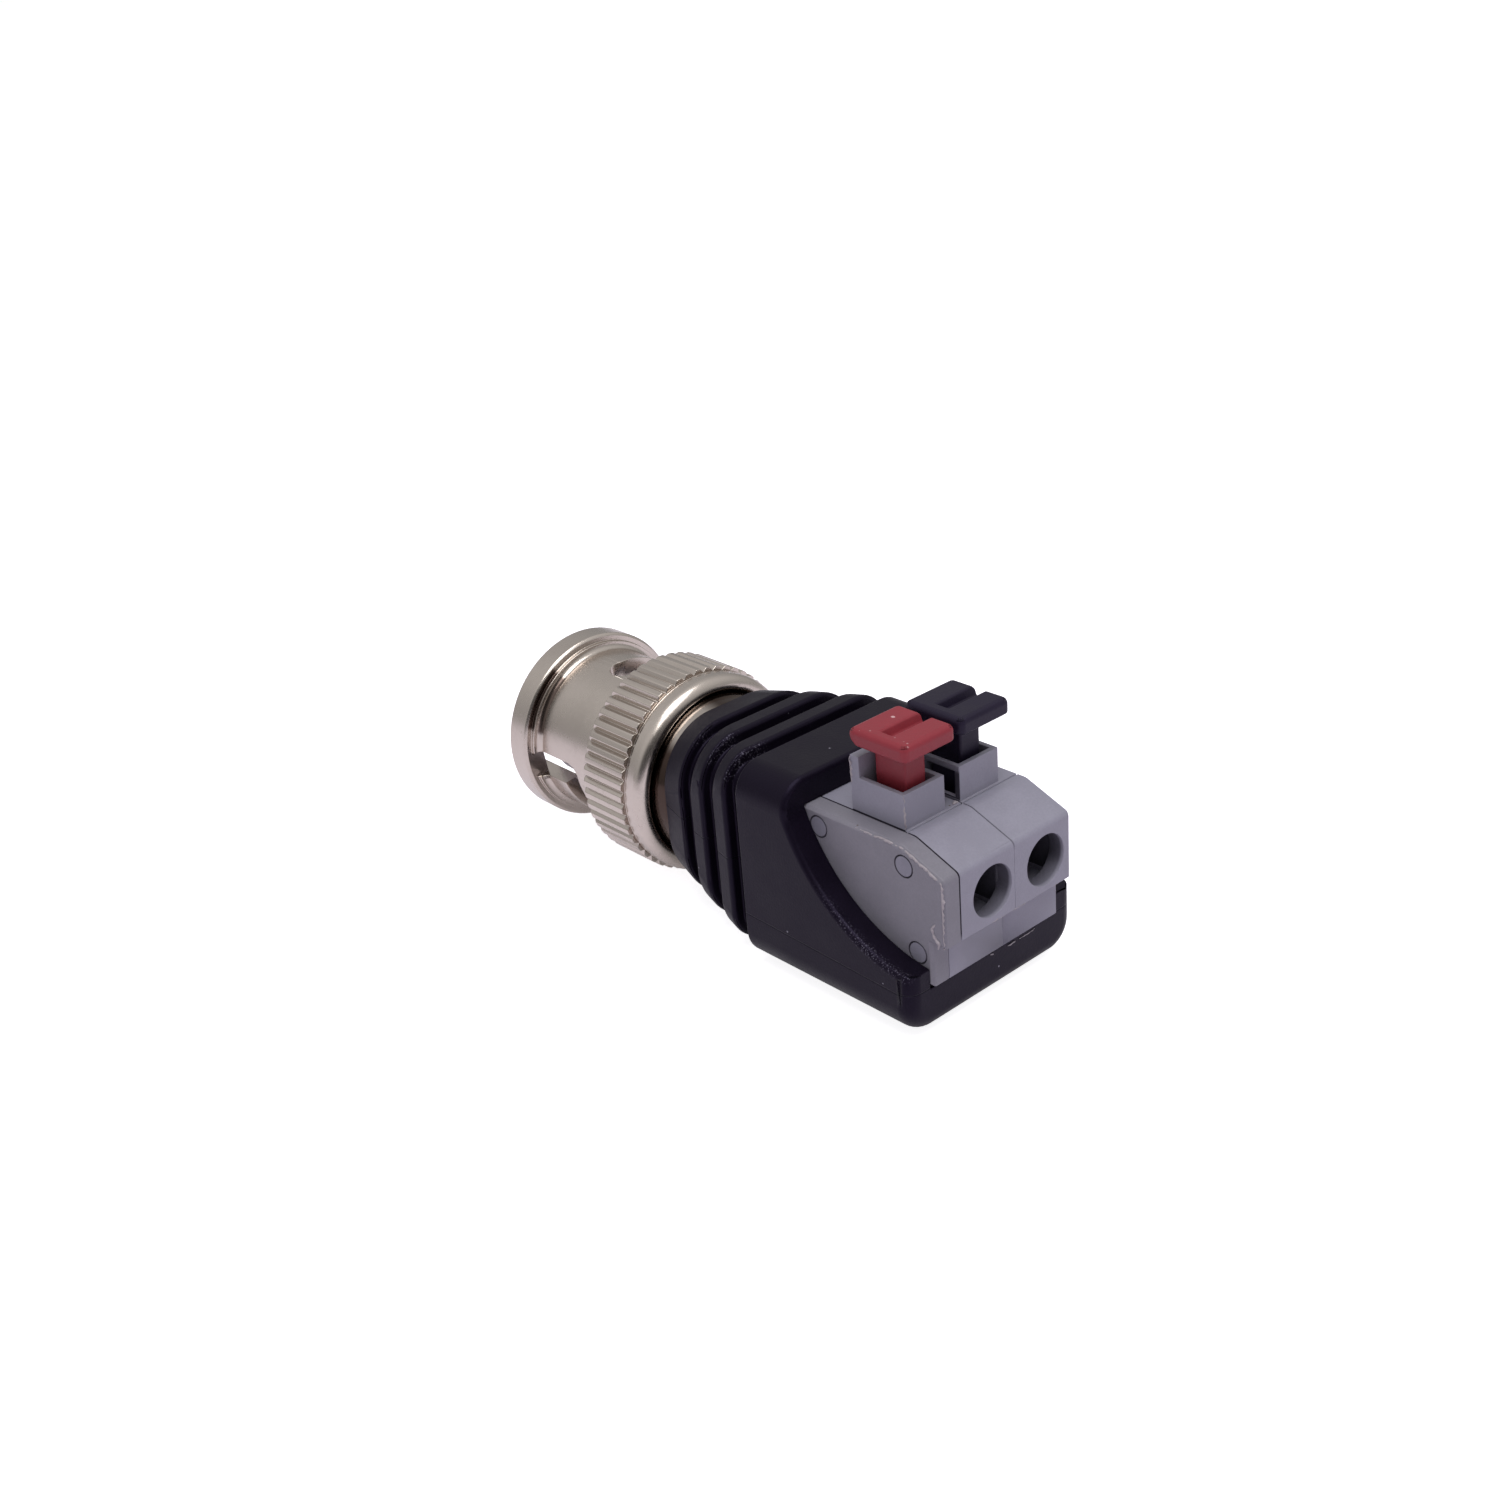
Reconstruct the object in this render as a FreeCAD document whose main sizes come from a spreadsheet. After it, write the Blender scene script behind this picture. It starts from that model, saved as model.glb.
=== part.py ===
import FreeCAD, Part
import math
import os
import Sketcher
from FreeCAD import Placement, Rotation, Vector

# Coaxial bayonet plug on a moulded housing with a two-pole spring terminal block.
# Origin: centre of the coupling's mouth. +Y points out of the mouth, +Z is up, and the
# body of the adapter runs back along -Y. Lengths are in millimetres, and the sizes whose
# names end in _at are distances behind the mouth.

DRIVING_SIZES = [
    # Coupling sleeve, outside
    ("rim_step", 1.10, "rim beyond the barrel"),
    ("rim_width", 2.08, "width of the rim"),
    ("rim_bevel", 0.18, "bevel on the rim's edges"),
    ("rim_bead_step", 0.55, "bead behind the rim, beyond the barrel"),
    ("rim_bead_width", 0.32, "width of that bead"),
    ("barrel_radius", 6.15, "barrel between rim and knurl"),
    ("barrel_root", 0.45, "round between bead and barrel"),
    ("knurl_step", 0.28, "knurl beyond the collar"),
    ("knurl_start_at", 9.64, "front end of the knurl"),
    ("knurl_end_at", 14.02, "rear end of the knurl"),
    ("knurl_slope", 0.34, "length of the slope between barrel and knurl"),
    ("knurl_bevel", 0.15, "bevel at the front end of the knurl"),
    ("knurl_groove_depth", 0.30, "depth of one knurl groove"),
    ("knurl_groove_width", 0.52, "width of one knurl groove at the surface"),
    ("knurl_teeth", 52, "number of knurl grooves"),
    ("neck_depth", 0.12, "undercut behind the knurl, below the collar"),
    ("neck_width", 0.24, "width of that undercut"),
    ("collar_wall", 1.10, "wall of the collar round the plug body's shoulder"),
    ("collar_end_at", 15.78, "rear end of the sleeve"),
    ("collar_round", 0.85, "round on the collar's rear edge"),
    # Coupling sleeve, inside
    ("mouth_radius", 4.90, "bore of the mouth"),
    ("mouth_bevel", 0.35, "bevel at the mouth"),
    ("cavity_at", 9.60, "front of the spring cavity"),
    ("cavity_gap", 0.35, "spring cavity beyond the retaining ring"),
    ("web_thickness", 1.20, "inner web that the spring pushes on"),
    ("web_gap", 0.25, "running gap between web and plug body"),
    ("rear_bore_gap", 0.10, "running gap round the plug body's shoulder"),
    # Bayonet slots
    ("slot_width", 2.10, "width of the bayonet slots"),
    ("keyway_depth", 0.70, "depth of the keyways below the mouth's bore"),
    ("slot_entry_angle", 8.0, "first entry, degrees below the -X side"),
    ("slot_turn_angle", 86.0, "turn of the slot round the sleeve, degrees"),
    ("slot_turn_at", 5.75, "middle of the slot where it starts to turn"),
    ("slot_lead", 0.80, "how far the slot runs back while it turns"),
    ("slot_pocket_radius", 1.18, "round pocket at the end of the slot"),
    ("cutter_margin", 0.10, "how far a cut starts outside the metal"),
    # Plug body and what it carries
    ("front_face_at", 9.30, "front face of the plug body"),
    ("spigot_radius", 4.70, "plug body in front of the shoulder"),
    ("ring_groove_at", 9.95, "groove for the retaining ring"),
    ("ring_thickness", 0.60, "retaining ring"),
    ("ring_groove_radius", 4.40, "bottom of that groove"),
    ("ring_radius", 5.55, "outer radius of the retaining ring"),
    ("ring_opening", 36.0, "gap in the retaining ring, degrees"),
    ("spring_height", 1.10, "height of the wave washer at rest"),
    ("spring_strip", 0.25, "thickness of the wave washer"),
    ("spring_waves", 3, "waves round the washer"),
    ("stack_gap", 0.03, "gap on either side of the wave washer"),
    ("thrust_thickness", 0.40, "thrust ring behind the wave washer"),
    ("washer_clearance", 0.18, "gap round the washers, inside and outside"),
    ("stop_gap", 0.05, "gap between web and shoulder at rest"),
    ("shoulder_radius", 6.20, "shoulder of the plug body"),
    ("shoulder_bevel", 0.25, "bevel on the shoulder"),
    ("ferrule_taper", 0.22, "how much the shoulder narrows towards the housing"),
    ("barb_radius", 5.00, "barrel held by the housing"),
    ("barb_groove_depth", 0.45, "groove that locks the barrel in the housing"),
    ("barb_groove_width", 1.30, "width of that groove"),
    ("barrel_length", 5.55, "barrel inside the housing"),
    ("contact_radius", 4.05, "outer radius of the outer contact"),
    ("contact_wall", 0.50, "wall of the outer contact"),
    ("contact_tip_at", 0.90, "tip of the outer contact"),
    ("contact_seat_depth", 2.00, "outer contact inside the plug body"),
    ("contact_seat_radius", 3.85, "outer contact behind the gasket's face"),
    ("contact_slits", 4, "slits in the outer contact"),
    ("slit_angle", 45.0, "angle of the first slit, degrees"),
    ("contact_slit_width", 0.45, "width of a slit"),
    ("contact_slit_length", 5.20, "length of a slit"),
    ("contact_bevel", 0.20, "bevel at the outer contact's tip"),
    ("gasket_thickness", 1.00, "face gasket"),
    ("gasket_wall", 0.78, "radial width of the face gasket"),
    ("insulator_face_at", 6.90, "front face of the insulator"),
    ("insulator_radius", 3.00, "insulator inside the plug body"),
    ("sleeve_fit", 0.04, "gap round the insulator and the centre pin"),
    ("insulator_end_at", 22.00, "rear end of the insulator"),
    ("pin_radius", 0.675, "centre pin"),
    ("pin_tip_at", 1.50, "tip of the centre pin"),
    ("pin_tip_radius", 0.30, "flat at the pin's tip"),
    ("pin_tip_taper", 0.90, "length of the pin's taper"),
    ("pin_shoulder_at", 6.95, "where the pin thickens inside the insulator"),
    ("pin_stem_radius", 1.05, "rear part of the centre pin"),
    ("pin_end_at", 25.00, "rear end of the centre pin"),
    ("cup_radius", 0.60, "solder cup"),
    ("cup_depth", 1.60, "depth of the solder cup"),
    ("wire_in_cup", 1.44, "length of the lead inside the solder cup"),
    # Housing
    ("housing_front_at", 17.45, "front face of the housing"),
    ("front_half_width", 6.35, "half width at the front face"),
    ("front_half_height", 6.30, "half height at the front face"),
    ("front_corner", 4.65, "corner radius at the front face"),
    ("waist_at", 21.23, "section between front face and box"),
    ("waist_half_width", 7.10, "half width there"),
    ("waist_half_height", 6.84, "half height there"),
    ("waist_corner", 4.05, "corner radius there"),
    ("box_front_at", 26.87, "front of the box behind the ribs"),
    ("box_half_width", 7.86, "half width of the box"),
    ("box_half_height", 7.18, "half height of the box"),
    ("box_corner", 2.15, "corner radius of the box's long edges"),
    ("box_end_at", 41.80, "rear face of the box"),
    ("box_end_round", 1.10, "round on the rear face's edge"),
    ("groove_at", 19.85, "front of the first groove"),
    ("groove_pitch", 2.82, "distance from groove to groove"),
    ("groove_width", 1.38, "width of a groove"),
    ("groove_depth", 0.95, "depth of a groove"),
    ("rib_bevel", 0.22, "bevel on the rear edge of each rib"),
    ("cut_at", 31.42, "wall where the box is cut away for the terminal block"),
    ("cut_arc_radius", 12.45, "arc of the cut in the side walls"),
    ("cut_arc_at", 43.00, "centre of that arc"),
    ("cut_floor", -2.75, "height of the side walls at the rear"),
    ("rear_wall_top", -4.12, "height of the rear wall between the side walls"),
    ("rear_wall", 0.90, "thickness of the rear wall"),
    ("chamber_half_width", 4.60, "half width of the wiring chamber"),
    ("chamber_roof", 5.00, "roof of the wiring chamber"),
    ("chamber_floor", -5.20, "floor of the wiring chamber"),
    ("trough_wall", 0.58, "wall of the box below the solder trough"),
    ("trough_front_at", 27.50, "front of the solder trough"),
    ("trough_back_at", 35.60, "rear of the solder trough"),
    ("well_clearance", 0.02, "gap round the terminal block"),
    # Terminal block
    ("side_wall", 1.96, "side wall of the box beside the end cover"),
    ("cover_thickness", 1.47, "end cover"),
    ("cover_bevel", 0.22, "bevel on the cover's outer edge"),
    ("pole_pitch", 5.00, "pitch of the two poles"),
    ("last_pole_extra", 0.26, "extra width of the last pole"),
    ("block_back_at", 30.90, "back of the terminal block"),
    ("block_face_at", 43.11, "wire entry face"),
    ("block_floor", 1.58, "floor of the box below the terminal block"),
    ("face_top", 3.85, "top of the wire entry face"),
    ("face_bottom", -0.87, "bottom of the wire entry face"),
    ("knee_at", 39.64, "where the sloped top meets the flat top"),
    ("knee_height", 5.21, "height of the flat top"),
    ("knee_round", 1.20, "round at the knee"),
    ("face_round", 0.45, "round at the top of the wire entry face"),
    ("top_line_at", 38.84, "line across the flat top, in front of the sockets"),
    ("top_line_size", 0.12, "width and depth of that line"),
    ("pole_gap", 0.02, "joint between two poles"),
    ("foot_front_at", 42.00, "front of the foot below the wire entry face"),
    ("foot_gap", 0.12, "gap between the foot and the rear wall"),
    ("entry_radius", 1.77, "wire entry"),
    ("entry_offset", 2.95, "wire entry's axis, from the pole's left side"),
    ("entry_height", 1.35, "height of the wire entry's axis"),
    ("entry_length", 1.20, "length of the round entry, before the hollow behind it"),
    ("entry_margin", 0.15, "hollow behind the entry, beyond its radius"),
    ("pole_wall", 0.40, "right wall of a pole"),
    ("peg_radius", 0.70, "pegs that locate the end cover"),
    ("peg_clearance", 0.05, "gap round a peg"),
    ("rear_peg_at", 32.54, "rear peg"),
    ("rear_peg_depth", 1.17, "rear peg's axis below the flat top"),
    ("top_peg_at", 39.92, "peg below the sloped top"),
    ("top_peg_depth", 1.37, "that peg's axis below the flat top"),
    ("front_peg_at", 40.80, "front peg"),
    ("front_peg_depth", 1.05, "front peg's axis below the wire entry face"),
    ("hollow_front_at", 40.10, "front of the pole's hollow"),
    ("hollow_back_at", 32.00, "back of the pole's hollow"),
    ("pole_floor", 1.00, "floor of the pole below the hollow"),
    ("shelf_depth", 2.11, "roof of the hollow beside the pegs, below the flat top"),
    ("roof_depth", 1.01, "roof of the hollow below the button socket, below the flat top"),
    ("guide_front_at", 39.10, "front of the hollow below the button socket"),
    ("guide_back_at", 33.40, "back of the hollow below the button socket"),
    ("bar_seat_back_at", 34.00, "rear end of the seat below the current bar"),
    ("bar_seat_gap", 0.03, "gap between current bar and seat"),
    # Button sockets
    ("socket_width", 3.67, "socket across"),
    ("socket_front_at", 38.70, "front face of a socket"),
    ("socket_back_at", 34.20, "back face of a socket"),
    ("socket_top", 7.64, "top of a socket"),
    ("socket_back_top", 9.08, "top of the taller back wall"),
    ("socket_back_wall", 0.75, "thickness of the back wall"),
    ("socket_wall", 0.38, "thickness of the other walls"),
    ("socket_root", 0.50, "how deep the socket's walls stand in the block"),
    ("window_rim", 0.40, "rim above the window in the inner socket's left wall"),
    # Buttons
    ("stem_inset", 0.95, "stem's left face from the pole's left side"),
    ("stem_width", 1.85, "stem across"),
    ("stem_front_at", 38.02, "front face of the stem"),
    ("stem_back_at", 35.42, "back face of the stem"),
    ("stem_foot_spread", 0.62, "foot that keeps the button in, beyond the stem"),
    ("stem_foot_height", 0.60, "height of that foot"),
    ("button_play", 0.05, "play between foot and roof at rest"),
    ("head_left_overhang", 0.60, "head beyond the pole's left side"),
    ("head_width", 4.55, "head across"),
    ("head_front_at", 39.60, "front face of the head"),
    ("head_back_at", 34.70, "back face of the head"),
    ("head_top", 11.32, "top of the head"),
    ("head_thickness", 1.12, "thickness of the head"),
    ("head_corner", 0.45, "round on the head's upright corners"),
    ("head_bevel", 0.26, "bevel round the top of the head"),
    ("head_undercut", 0.55, "height of the slope below the head's back edge"),
    ("head_undercut_length", 0.70, "length of that slope"),
    ("head_slot_back_at", 36.90, "back side of the screwdriver slot"),
    ("head_slot_width", 0.62, "width of the slot at its bottom"),
    ("head_slot_flare", 0.24, "how far each side of the slot leans outwards"),
    ("head_slot_depth", 0.66, "depth of the slot"),
    ("head_bar", 0.95, "bar left of the slot"),
    # Cage springs, contacts and leads
    ("bar_height", -0.45, "top of the current bar"),
    ("bar_thickness", 0.50, "thickness of the current bar"),
    ("bar_inset", 1.30, "bar's left side from the pole's left side"),
    ("bar_width", 2.40, "bar across"),
    ("bar_front_at", 39.60, "front end of the bar"),
    ("bar_back_at", 32.90, "rear face of the bar's downward leg"),
    ("bar_leg_gap", 0.20, "gap between the wide leg and the pole's floor"),
    ("solder_pin_width", 0.80, "solder pin across"),
    ("solder_pin_gap", 0.20, "gap between the solder pin and the trough's floor"),
    ("pin_slot_clearance", 0.05, "gap round the solder pin in the pole's floor"),
    ("cage_strip", 0.30, "thickness of the cage spring"),
    ("cage_lean", 0.84, "share of the strip that the sloping leg takes in height"),
    ("cage_back_at", 33.70, "rear leg of the cage spring"),
    ("cage_front_at", 38.10, "front bend of the cage spring"),
    ("cage_tip_at", 38.75, "tip of the clamping leg"),
    ("cage_gap", 0.05, "gap between spring and button, and spring and bar"),
    ("cage_bend", 0.55, "outer bend radius of the cage spring"),
    ("cage_foot_at", 36.60, "front end of the leg on the current bar"),
    ("cage_tip", 0.00, "height of the clamping leg's tip"),
    ("lead_radius", 0.45, "radius of the inner leads"),
    ("lead_bend", 1.00, "bend radius of the inner leads"),
    ("lead_gap", 0.07, "gap between the leads and the trough's floor"),
    ("lead_end_gap", 0.02, "gap at a lead's ends"),
    ("lead_turn_at", 28.60, "where the leads rise from the trough"),
    ("ground_offset", 4.00, "ground lead's distance from the axis at the plug body"),
]

TURN = 360.0
SAME_PLACE = 0.01  # two places nearer than this count as one, in mm


class Size:
    """A length with its value and the sheet formula that gives it."""

    def __init__(self, number, text):
        self.number = float(number)
        self.text = text

    def __add__(self, other):
        other = as_size(other)
        return Size(self.number + other.number, f"({self.text} + {other.text})")

    def __radd__(self, other):
        return as_size(other) + self

    def __sub__(self, other):
        other = as_size(other)
        return Size(self.number - other.number, f"({self.text} - {other.text})")

    def __rsub__(self, other):
        return as_size(other) - self

    def __mul__(self, other):
        other = as_size(other)
        return Size(self.number * other.number, f"({self.text} * {other.text})")

    def __rmul__(self, other):
        return as_size(other) * self

    def __truediv__(self, other):
        other = as_size(other)
        return Size(self.number / other.number, f"({self.text} / {other.text})")

    def __neg__(self):
        return Size(-self.number, f"(0 - {self.text})")


def as_size(value):
    """Plain numbers count as sizes with themselves as formula."""
    return value if isinstance(value, Size) else Size(value, repr(float(value)))


doc = FreeCAD.newDocument("bayonet_terminal_adapter")
sheet = doc.addObject("Spreadsheet::Sheet", "dims")
for row, (alias, value, meaning) in enumerate(DRIVING_SIZES, start=1):
    sheet.set(f"A{row}", meaning)
    sheet.set(f"B{row}", str(value))
    sheet.setAlias(f"B{row}", alias)
doc.recompute()


class Sheet:
    """Gives each aliased cell as a Size."""

    def __getattr__(self, alias):
        return Size(sheet.get(alias), "dims." + alias)


d = Sheet()


# Sketch and feature helpers

def body(name):
    """A new part body whose label is the node's name."""
    made = doc.addObject("PartDesign::Body", name)
    made.Label = name
    made.Placement = Placement()
    return made


def sketch_on(owner, role, name, offset=0, turn=None):
    """A sketch on one of the body's origin planes, moved along its normal or turned."""
    plane = next(f for f in owner.Origin.OriginFeatures if f.Role == role)
    drawn = owner.newObject("Sketcher::SketchObject", name)
    drawn.AttachmentSupport = [(plane, "")]
    drawn.MapMode = "FlatFace"
    if turn is not None:
        axis, angle = turn
        drawn.AttachmentOffset = Placement(Vector(), Rotation(axis, angle.number))
        drawn.setExpression("AttachmentOffset.Rotation.Angle", angle.text)
    drawn.setExpression("AttachmentOffset.Base.z", as_size(offset).text)
    return drawn


def pin_point(drawn, geometry, end, across, along):
    """Hold one point of a sketch at (across, along) from the sketch's origin."""
    for kind, axis, size in (("DistanceX", -2, across), ("DistanceY", -1, along)):
        size = as_size(size)
        if abs(size.number) < 1e-9:
            drawn.addConstraint(Sketcher.Constraint("PointOnObject", geometry, end, axis))
        else:
            made = drawn.addConstraint(
                Sketcher.Constraint(kind, -1, 1, geometry, end, size.number))
            drawn.setExpression(f"Constraints[{made}]", size.text)


def outline(drawn, corners):
    """A closed outline through corners (across, along) or (across, along, radius)."""
    spots = [Vector(as_size(c[0]).number, as_size(c[1]).number, 0) for c in corners]
    count = len(corners)
    arrive, leave, rounds = [], [], []
    for i, corner in enumerate(corners):
        back = (spots[i - 1] - spots[i]).normalize()
        ahead = (spots[(i + 1) % count] - spots[i]).normalize()
        radius = as_size(corner[2]) if len(corner) > 2 else None
        if radius is None:
            arrive.append(spots[i])
            leave.append(spots[i])
            rounds.append(None)
            continue
        half = back.getAngle(ahead) / 2
        reach = radius.number / math.tan(half)
        middle = spots[i] + (back + ahead).normalize() * (radius.number / math.sin(half))
        arrive.append(spots[i] + back * reach)
        leave.append(spots[i] + ahead * reach)
        rounds.append((radius, middle))
    lines = []
    for i in range(count):
        segment = Part.LineSegment(leave[i], arrive[(i + 1) % count])
        lines.append(drawn.addGeometry(segment, False))
    for i, corner in enumerate(corners):
        before = lines[i - 1]
        after = lines[i]
        if rounds[i] is None:
            drawn.addConstraint(Sketcher.Constraint("Coincident", before, 2, after, 1))
            pin_point(drawn, after, 1, corner[0], corner[1])
            continue
        radius, middle = rounds[i]
        start = math.atan2(arrive[i].y - middle.y, arrive[i].x - middle.x)
        finish = math.atan2(leave[i].y - middle.y, leave[i].x - middle.x)
        forward = (finish - start) % (2 * math.pi) < math.pi
        if not forward:
            start, finish = finish, start
        circle = Part.Circle(middle, Vector(0, 0, 1), radius.number)
        arc = drawn.addGeometry(Part.ArcOfCircle(circle, start, finish), False)
        first, last = (1, 2) if forward else (2, 1)
        drawn.addConstraint(Sketcher.Constraint("Tangent", before, 2, arc, first))
        drawn.addConstraint(Sketcher.Constraint("Tangent", arc, last, after, 1))
        made = drawn.addConstraint(Sketcher.Constraint("Radius", arc, radius.number))
        drawn.setExpression(f"Constraints[{made}]", radius.text)
        spot = drawn.addGeometry(Part.Point(spots[i]), True)
        drawn.addConstraint(Sketcher.Constraint("PointOnObject", spot, 1, before))
        drawn.addConstraint(Sketcher.Constraint("PointOnObject", spot, 1, after))
        pin_point(drawn, spot, 1, corner[0], corner[1])
    return drawn


def rectangle(drawn, low_across, low_along, high_across, high_along):
    """A rectangle from its two opposite corners."""
    return outline(drawn, [(low_across, low_along), (high_across, low_along),
                           (high_across, high_along), (low_across, high_along)])


def rounded_square(drawn, half_width, half_height, corner):
    """A rectangle round the sketch's origin with round corners."""
    return outline(drawn, [(-half_width, -half_height, corner),
                           (half_width, -half_height, corner),
                           (half_width, half_height, corner),
                           (-half_width, half_height, corner)])


def disc(drawn, across, along, radius):
    """A circle held at its centre."""
    middle = Vector(as_size(across).number, as_size(along).number, 0)
    circle = Part.Circle(middle, Vector(0, 0, 1), as_size(radius).number)
    ring = drawn.addGeometry(circle, False)
    made = drawn.addConstraint(Sketcher.Constraint("Radius", ring, radius.number))
    drawn.setExpression(f"Constraints[{made}]", radius.text)
    pin_point(drawn, ring, 3, across, along)
    return drawn


def feature(owner, kind, name, drawn, length=None, reverse=False):
    """A PartDesign feature made from a sketch."""
    made = owner.newObject("PartDesign::" + kind, name)
    made.Profile = drawn
    if length is not None:
        made.setExpression("Length", as_size(length).text)
        made.Reversed = reverse
    drawn.Visibility = False
    return made


def revolve(owner, name, corners, kind="Revolution", angle=None):
    """Turn an outline of (radius, y) corners round the Y axis."""
    drawn = outline(sketch_on(owner, "XY_Plane", name + "_profile"), corners)
    made = feature(owner, kind, name, drawn)
    made.ReferenceAxis = (drawn, ["V_Axis"])
    if angle is None:
        made.Angle = TURN
    else:
        made.setExpression("Angle", angle.text)
    return made


def around_axis(owner, name, originals, count):
    """Repeat features evenly round the Y axis."""
    made = owner.newObject("PartDesign::PolarPattern", name)
    made.Originals = originals
    axis = next(f for f in owner.Origin.OriginFeatures if f.Role == "Y_Axis")
    made.Axis = (axis, [""])
    made.Angle = TURN
    made.setExpression("Occurrences", as_size(count).text)
    owner.Tip = made
    return made


def edges_of(made, inside):
    """Names of the edges whose ends and middle all pass the test."""
    names = []
    for i, edge in enumerate(made.Shape.Edges, start=1):
        middle = edge.valueAt((edge.FirstParameter + edge.LastParameter) / 2)
        spots = [vertex.Point for vertex in edge.Vertexes] + [middle]
        if all(inside(spot) for spot in spots):
            names.append(f"Edge{i}")
    return names


def soften(owner, kind, name, made, inside, size):
    """A fillet or chamfer on the edges of a feature that pass the test."""
    doc.recompute()
    rounded = owner.newObject("PartDesign::" + kind, name)
    rounded.Base = (made, edges_of(made, inside))
    rounded.setExpression("Radius" if kind == "Fillet" else "Size", size.text)
    return rounded


# Sizes that follow from the stack of parts in the coupling
ring_back_at = d.ring_groove_at + d.ring_thickness
thrust_at = ring_back_at + d.spring_height + d.stack_gap * 2
web_at = thrust_at + d.thrust_thickness
shoulder_at = web_at + d.web_thickness + d.stop_gap
barrel_end_at = d.housing_front_at + d.barrel_length
contact_seat_at = d.front_face_at + d.contact_seat_depth
cavity_radius = d.ring_radius + d.cavity_gap
rear_bore = d.shoulder_radius + d.rear_bore_gap
collar_radius = rear_bore + d.collar_wall
knurl_radius = collar_radius + d.knurl_step
rim_radius = d.barrel_radius + d.rim_step

# Heights and places in the box
trough_floor = d.trough_wall - d.box_half_height
block_base = d.block_floor - d.box_half_height
hollow_floor = block_base + d.pole_floor
block_left = d.side_wall - d.box_half_width
hollow_roof = d.knee_height - d.roof_depth
hollow_shelf = d.knee_height - d.shelf_depth
first_pole = block_left + d.cover_thickness + d.pole_gap
second_pole = first_pole + d.pole_pitch
block_right = second_pole + d.pole_pitch + d.last_pole_extra - d.pole_gap
pegs = [("rear_peg", d.rear_peg_at, d.knee_height - d.rear_peg_depth),
        ("top_peg", d.top_peg_at, d.knee_height - d.top_peg_depth),
        ("front_peg", d.front_peg_at, d.face_bottom - d.front_peg_depth)]


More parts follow.
